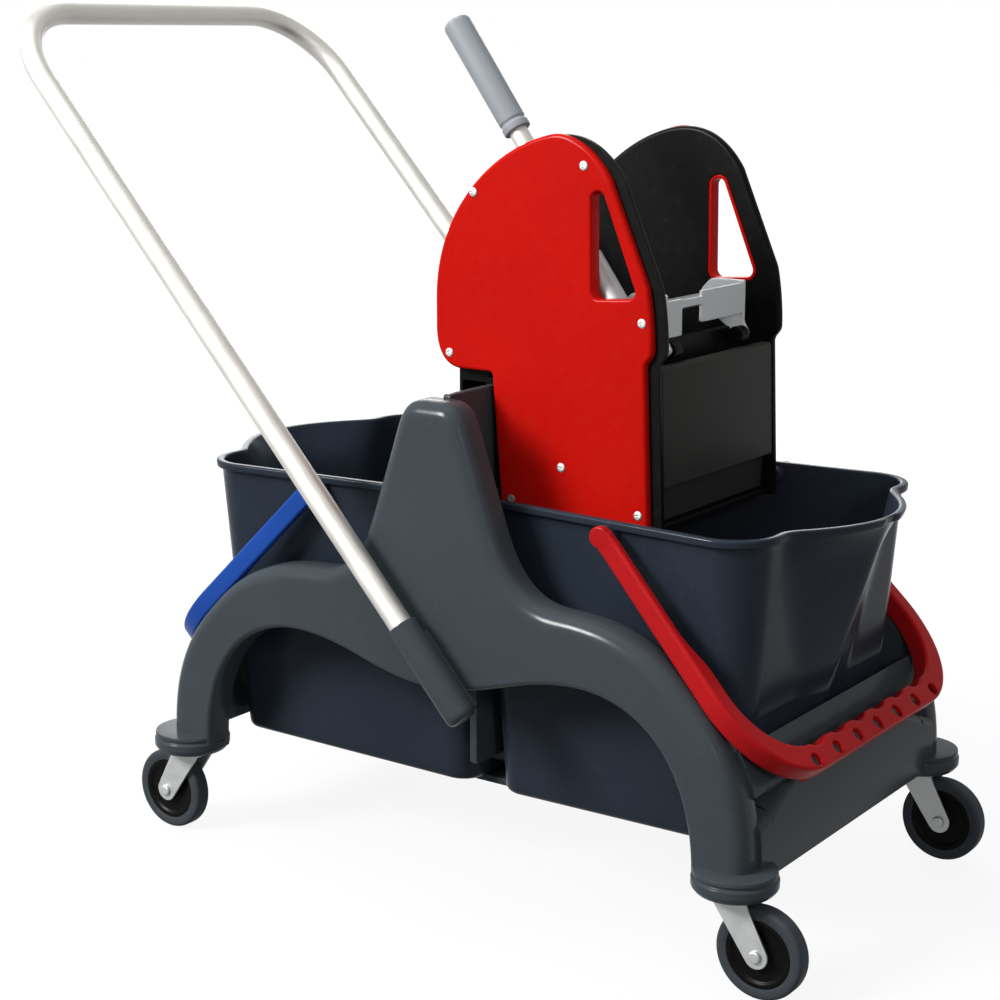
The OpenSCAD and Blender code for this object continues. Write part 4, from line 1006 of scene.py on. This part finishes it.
class TROLLEY_OT_lever(bpy.types.Operator):
    """Builds the lever: its hub, its tube and its grip"""
    bl_idname = "trolley.lever"
    bl_label = "Lever"

    def execute(self, context):
        s = context.scene.trolley.wringer
        up = np.array([-math.sin(s.lever_lean), 0, math.cos(s.lever_lean)])
        foot = np.array([SHAFT_X, LEVER_Y, SHAFT_Z])
        bore = LEVER_R + FIT
        neck = softened([[0, 8], [11, 8], [11, 60], [bore, 60], [bore, 50], [0, 50]],
                        [0, 2, 1.5, 0.5, 0.2, 0])
        hub = [rod(foot - 8.5 * Y, Y, 13, 17, 1.5), lathe(neck, foot, up)]
        build("lever_foot", hub, plated_steel(context), "lever", "lever_hub")
        pole = rod(foot + 15 * up, up, LEVER_R, 287)
        build("lever_rod", [pole], bright_tube(context), "lever", "lever_tube")
        r, low, top = 12.5, 190, 306
        grip = ringed(softened([
            [bore, low], [r, low], [r, 196], [11.4, 197.5], [11.4, 199], [12.3, 200.5], [r, top],
            [0, top], [0, top - 4], [bore, top - 4]],
            [0.5, 1.2, 0.8, 0.5, 0.5, 0.8, 5, 0, 0, 0.2], 8))
        grey = moulded("vinyl_light_grey", s.grip, 0.42, 1.6, 0.2)
        build("lever_handle", [lathe(grip, foot, up, 56)], grey, "lever", "lever_grip")
        return {"FINISHED"}


# Castors

def castor_patches(tread):
    """Patches of one castor, by piece, about its stem with the wheel trailing along +X."""
    crown, race = WHEEL_R * 2 + 3, WHEEL_R * 2 + 6
    end, strip, half_w = FORK_HIGH[1] - STEM_Y, 2.5, STEM_X - FORK_LOW[0]
    inside = end - strip
    axle = np.array([TRAIL, WHEEL_R])
    lean = axle - [0, race]
    tilt = math.degrees(math.atan2(lean[1], lean[0]))
    sheet = chain([[-half_w, race]], arc(axle, 11, tilt - 87, tilt + 84, 24), [[half_w - 4, race]])
    strips = [slab(sheet, inside, strip, 0.7)]
    disc = block([-half_w, -end, crown], [half_w, end, race], 1.2)
    seat, pin, top = 15, 5.5, 118
    stem = softened([[0, race], [seat, race], [seat, race + 1.7], [pin, race + 1.7], [pin, top],
                     [0, top]], [0, 0.6, 0.6, 0.3, 0.8, 0])
    hub_at = np.array([TRAIL, 0, WHEEL_R])
    turn = np.arange(6) * np.pi / 3
    nut = softened(7 * np.stack([np.cos(turn), np.sin(turn)], 1), 0.8)
    head = softened([[0, 0], [5.5, 0], [5.5, 3], [0, 3]], [0, 2, 0.3, 0])
    bolt = [rod(hub_at - (end + 1) * Y, Y, 4, 2 * end + 6),
            lathe(head, hub_at - (end + 3) * Y, Y),
            plate([nut], 4, [(0.5, 0.8)], hub_at + end * Y, X, Z, Y)]
    face, boss = WHEEL_HALF - 1, inside - 0.5
    side = [[4.1, -boss], [10, -boss], [11, -face + 2], [24, -face + 2], [26, -face], [29.9, -face]]
    cuts = [0.5, 1, 1.5, 1, 1, 0.6]
    hub = ringed(softened(side + [[r, -h] for r, h in side[::-1]], cuts + cuts[::-1]))
    half, r = WHEEL_HALF, WHEEL_R
    flank = [[30, 0.6 - half], [31.5, -half], [r - tread + 1, -half]]
    crest = curve(flank[-1], [r, tread - 1 - half], [0.7, 0.05], [1, 0.5], 10)
    tread_line = chain(flank, crest)
    section = chain(tread_line, tread_line[::-1] * [1, -1], flank[:1])
    return {"fork_": [disc, *strips, *mirrored(strips, Y)], "stem_": [lathe(stem, 0 * Z, Z)],
            "axle_": bolt, "hub_": [lathe(hub, hub_at, Y, 72)],
            "tyre_": [lathe(section, hub_at, Y, 96)]}


class TROLLEY_OT_castors(bpy.types.Operator):
    """Builds the four swivel castors: stem, fork, axle bolt, hub and tyre"""
    bl_idname = "trolley.castors"
    bl_label = "Castors"

    def execute(self, context):
        looks = {"hub_": black_plastic(context), "tyre_": rubber(context)}
        for part, patches in castor_patches(context.scene.trolley.castors.tread / MM).items():
            look = looks.get(part, plated_steel(context))
            body = "wheel_" if part in looks else "castor_"
            for corner, (a, b) in CORNERS.items():
                turned = mirrored(patches, X) if a < 0 else patches
                place = [a * STEM_X, b * STEM_Y, 0]
                placed = [(points + place, groups) for points, groups in turned]
                build("castor_" + part + corner, placed, look, body + corner, part + corner)
        return {"FINISHED"}


# Stage

class TROLLEY_OT_stage(bpy.types.Operator):
    """Builds the floor, the lights, the pale surroundings and the camera"""
    bl_idname = "trolley.stage"
    bl_label = "Stage"

    def execute(self, context):
        scene, s = context.scene, context.scene.trolley.stage
        scene.view_settings.view_transform = "Standard"
        self.floor(s)
        self.light("key", s.key, 1.1, (-1.3, -2.5, 2.1))
        self.light("side", s.side, 0.3, (2.36, -1.71, 1.4))
        self.light("top", s.top, 1.6, (-0.4, -0.5, 2.7))
        self.light("back", s.back, 2.0, (-1.9, 2.6, 1.7))
        self.light("strip", s.strip, 0.9, (-1.3, -2.5, 2.1)).visible_diffuse = False
        self.surround(scene, s)
        camera = bpy.data.cameras.new("camera")
        camera.lens, camera.sensor_width = s.lens, 36
        eye = self.placed("camera", camera)
        eye.location, eye.rotation_euler = s.eye, (math.pi / 2 - s.dip, 0, s.turn)
        scene.camera = eye
        return {"FINISHED"}

    def placed(self, name, data):
        """A new object of the stage."""
        thing = bpy.data.objects.new(name, data)
        bpy.context.scene.collection.objects.link(thing)
        return thing

    def floor(self, s):
        """A pale sheet that shows white far off and keeps a faint shadow round the wheels."""
        mesh = bpy.data.meshes.new("floor")
        far = 30
        corners = [(-far, -far, 0), (far, -far, 0), (far, far, 0), (-far, far, 0)]
        mesh.from_pydata(corners, [], [(0, 1, 2, 3)])
        material, tree, where = blank("paper_white")
        fibre = add(tree, "ShaderNodeTexNoise", {"Scale": 1 / (20 * MM), "Detail": 3.0},
                    [("Vector", where)])
        tint = add(tree, "ShaderNodeMixRGB", {
            "Color1": shade(s.floor, 0.985), "Color2": shade(s.floor, 1)},
            [("Fac", fibre.outputs["Fac"])])
        sheet = add(tree, "ShaderNodeBsdfDiffuse", {}, [("Color", tint.outputs["Color"])])
        away = add(tree, "ShaderNodeVectorMath", {"operation": "LENGTH"}, [(0, where)])
        level = add(tree, "ShaderNodeMapRange", {
            "interpolation_type": "SMOOTHSTEP", "From Min": 0.5, "From Max": 1.6,
            "To Min": s.glow, "To Max": 1.0}, [("Value", away.outputs["Value"])])
        seen = add(tree, "ShaderNodeMath", {"operation": "MULTIPLY"}, [
            (0, self.shown(tree)), (1, level.outputs["Result"])])
        glow = add(tree, "ShaderNodeEmission", {"Color": (1, 1, 1, 1)},
                   [("Strength", seen.outputs["Value"])])
        both = add(tree, "ShaderNodeAddShader", {}, [
            (0, sheet.outputs["BSDF"]), (1, glow.outputs["Emission"])])
        add(tree, "ShaderNodeOutputMaterial", {}, [("Surface", both.outputs["Shader"])])
        mesh.materials.append(material)
        self.placed("floor", mesh)

    def shown(self, tree):
        """1 for rays that show the background: the camera's, reflected ones and through glass."""
        path = add(tree, "ShaderNodeLightPath", {})
        direct = add(tree, "ShaderNodeMath", {"operation": "MAXIMUM"}, [
            (0, path.outputs["Is Camera Ray"]), (1, path.outputs["Is Glossy Ray"])])
        any_ray = add(tree, "ShaderNodeMath", {"operation": "MAXIMUM"}, [
            (0, direct.outputs["Value"]), (1, path.outputs["Is Transmission Ray"])])
        return any_ray.outputs["Value"]

    def light(self, name, power, size, place):
        """A square soft light that looks at the middle of the trolley."""
        lamp = bpy.data.lights.new(name, "AREA")
        lamp.energy, lamp.size = power, size
        thing = self.placed(name, lamp)
        thing.location = place
        look = Vector((0.05, 0, 0.35)) - Vector(place)
        thing.rotation_euler = look.to_track_quat("-Z", "Y").to_euler()
        return thing

    def surround(self, scene, s):
        """A surround that is white to the camera and in reflections, and dimmer as a light."""
        world = bpy.data.worlds.new("studio")
        scene.world = world
        world.use_nodes = True
        tree = world.node_tree
        tree.nodes.clear()
        level = add(tree, "ShaderNodeMapRange", {"To Min": s.sky, "To Max": 1.0},
                    [("Value", self.shown(tree))])
        glow = add(tree, "ShaderNodeBackground", {"Color": (1, 1, 1, 1)},
                   [("Strength", level.outputs["Result"])])
        add(tree, "ShaderNodeOutputWorld", {}, [("Surface", glow.outputs["Background"])])


class TROLLEY_PT_panel(bpy.types.Panel):
    """The trolley's settings and its building steps"""
    bl_idname = "TROLLEY_PT_panel"
    bl_label = "Mop bucket trolley"
    bl_space_type = "VIEW_3D"
    bl_region_type = "UI"
    bl_category = "Trolley"

    def draw(self, context):
        for group, steps in STEPS.items():
            box = self.layout.box()
            settings = getattr(context.scene.trolley, group)
            for name in settings.__annotations__:
                box.prop(settings, name)
            for operator in steps:
                box.operator(operator.bl_idname)


STEPS = {
    "chassis": (TROLLEY_OT_chassis, TROLLEY_OT_handle),
    "buckets": (TROLLEY_OT_buckets, TROLLEY_OT_bails),
    "wringer": (TROLLEY_OT_wringer, TROLLEY_OT_press, TROLLEY_OT_lever),
    "castors": (TROLLEY_OT_castors,),
    "stage": (TROLLEY_OT_stage,),
}
CLASSES = (
    TrolleyChassisSettings, TrolleyBucketSettings, TrolleyWringerSettings, TrolleyCastorSettings,
    TrolleyStageSettings, TrolleySettings, *(o for steps in STEPS.values() for o in steps),
    TROLLEY_PT_panel)


def register():
    for c in CLASSES:
        bpy.utils.register_class(c)
    bpy.types.Scene.trolley = PointerProperty(type=TrolleySettings)


def unregister():
    del bpy.types.Scene.trolley
    for c in reversed(CLASSES):
        bpy.utils.unregister_class(c)


def main():
    register()
    bpy.ops.trolley.chassis()
    bpy.ops.trolley.handle()
    bpy.ops.trolley.buckets()
    bpy.ops.trolley.bails()
    bpy.ops.trolley.wringer()
    bpy.ops.trolley.press()
    bpy.ops.trolley.lever()
    bpy.ops.trolley.castors()
    bpy.ops.trolley.stage()


if __name__ == "__main__":
    main()
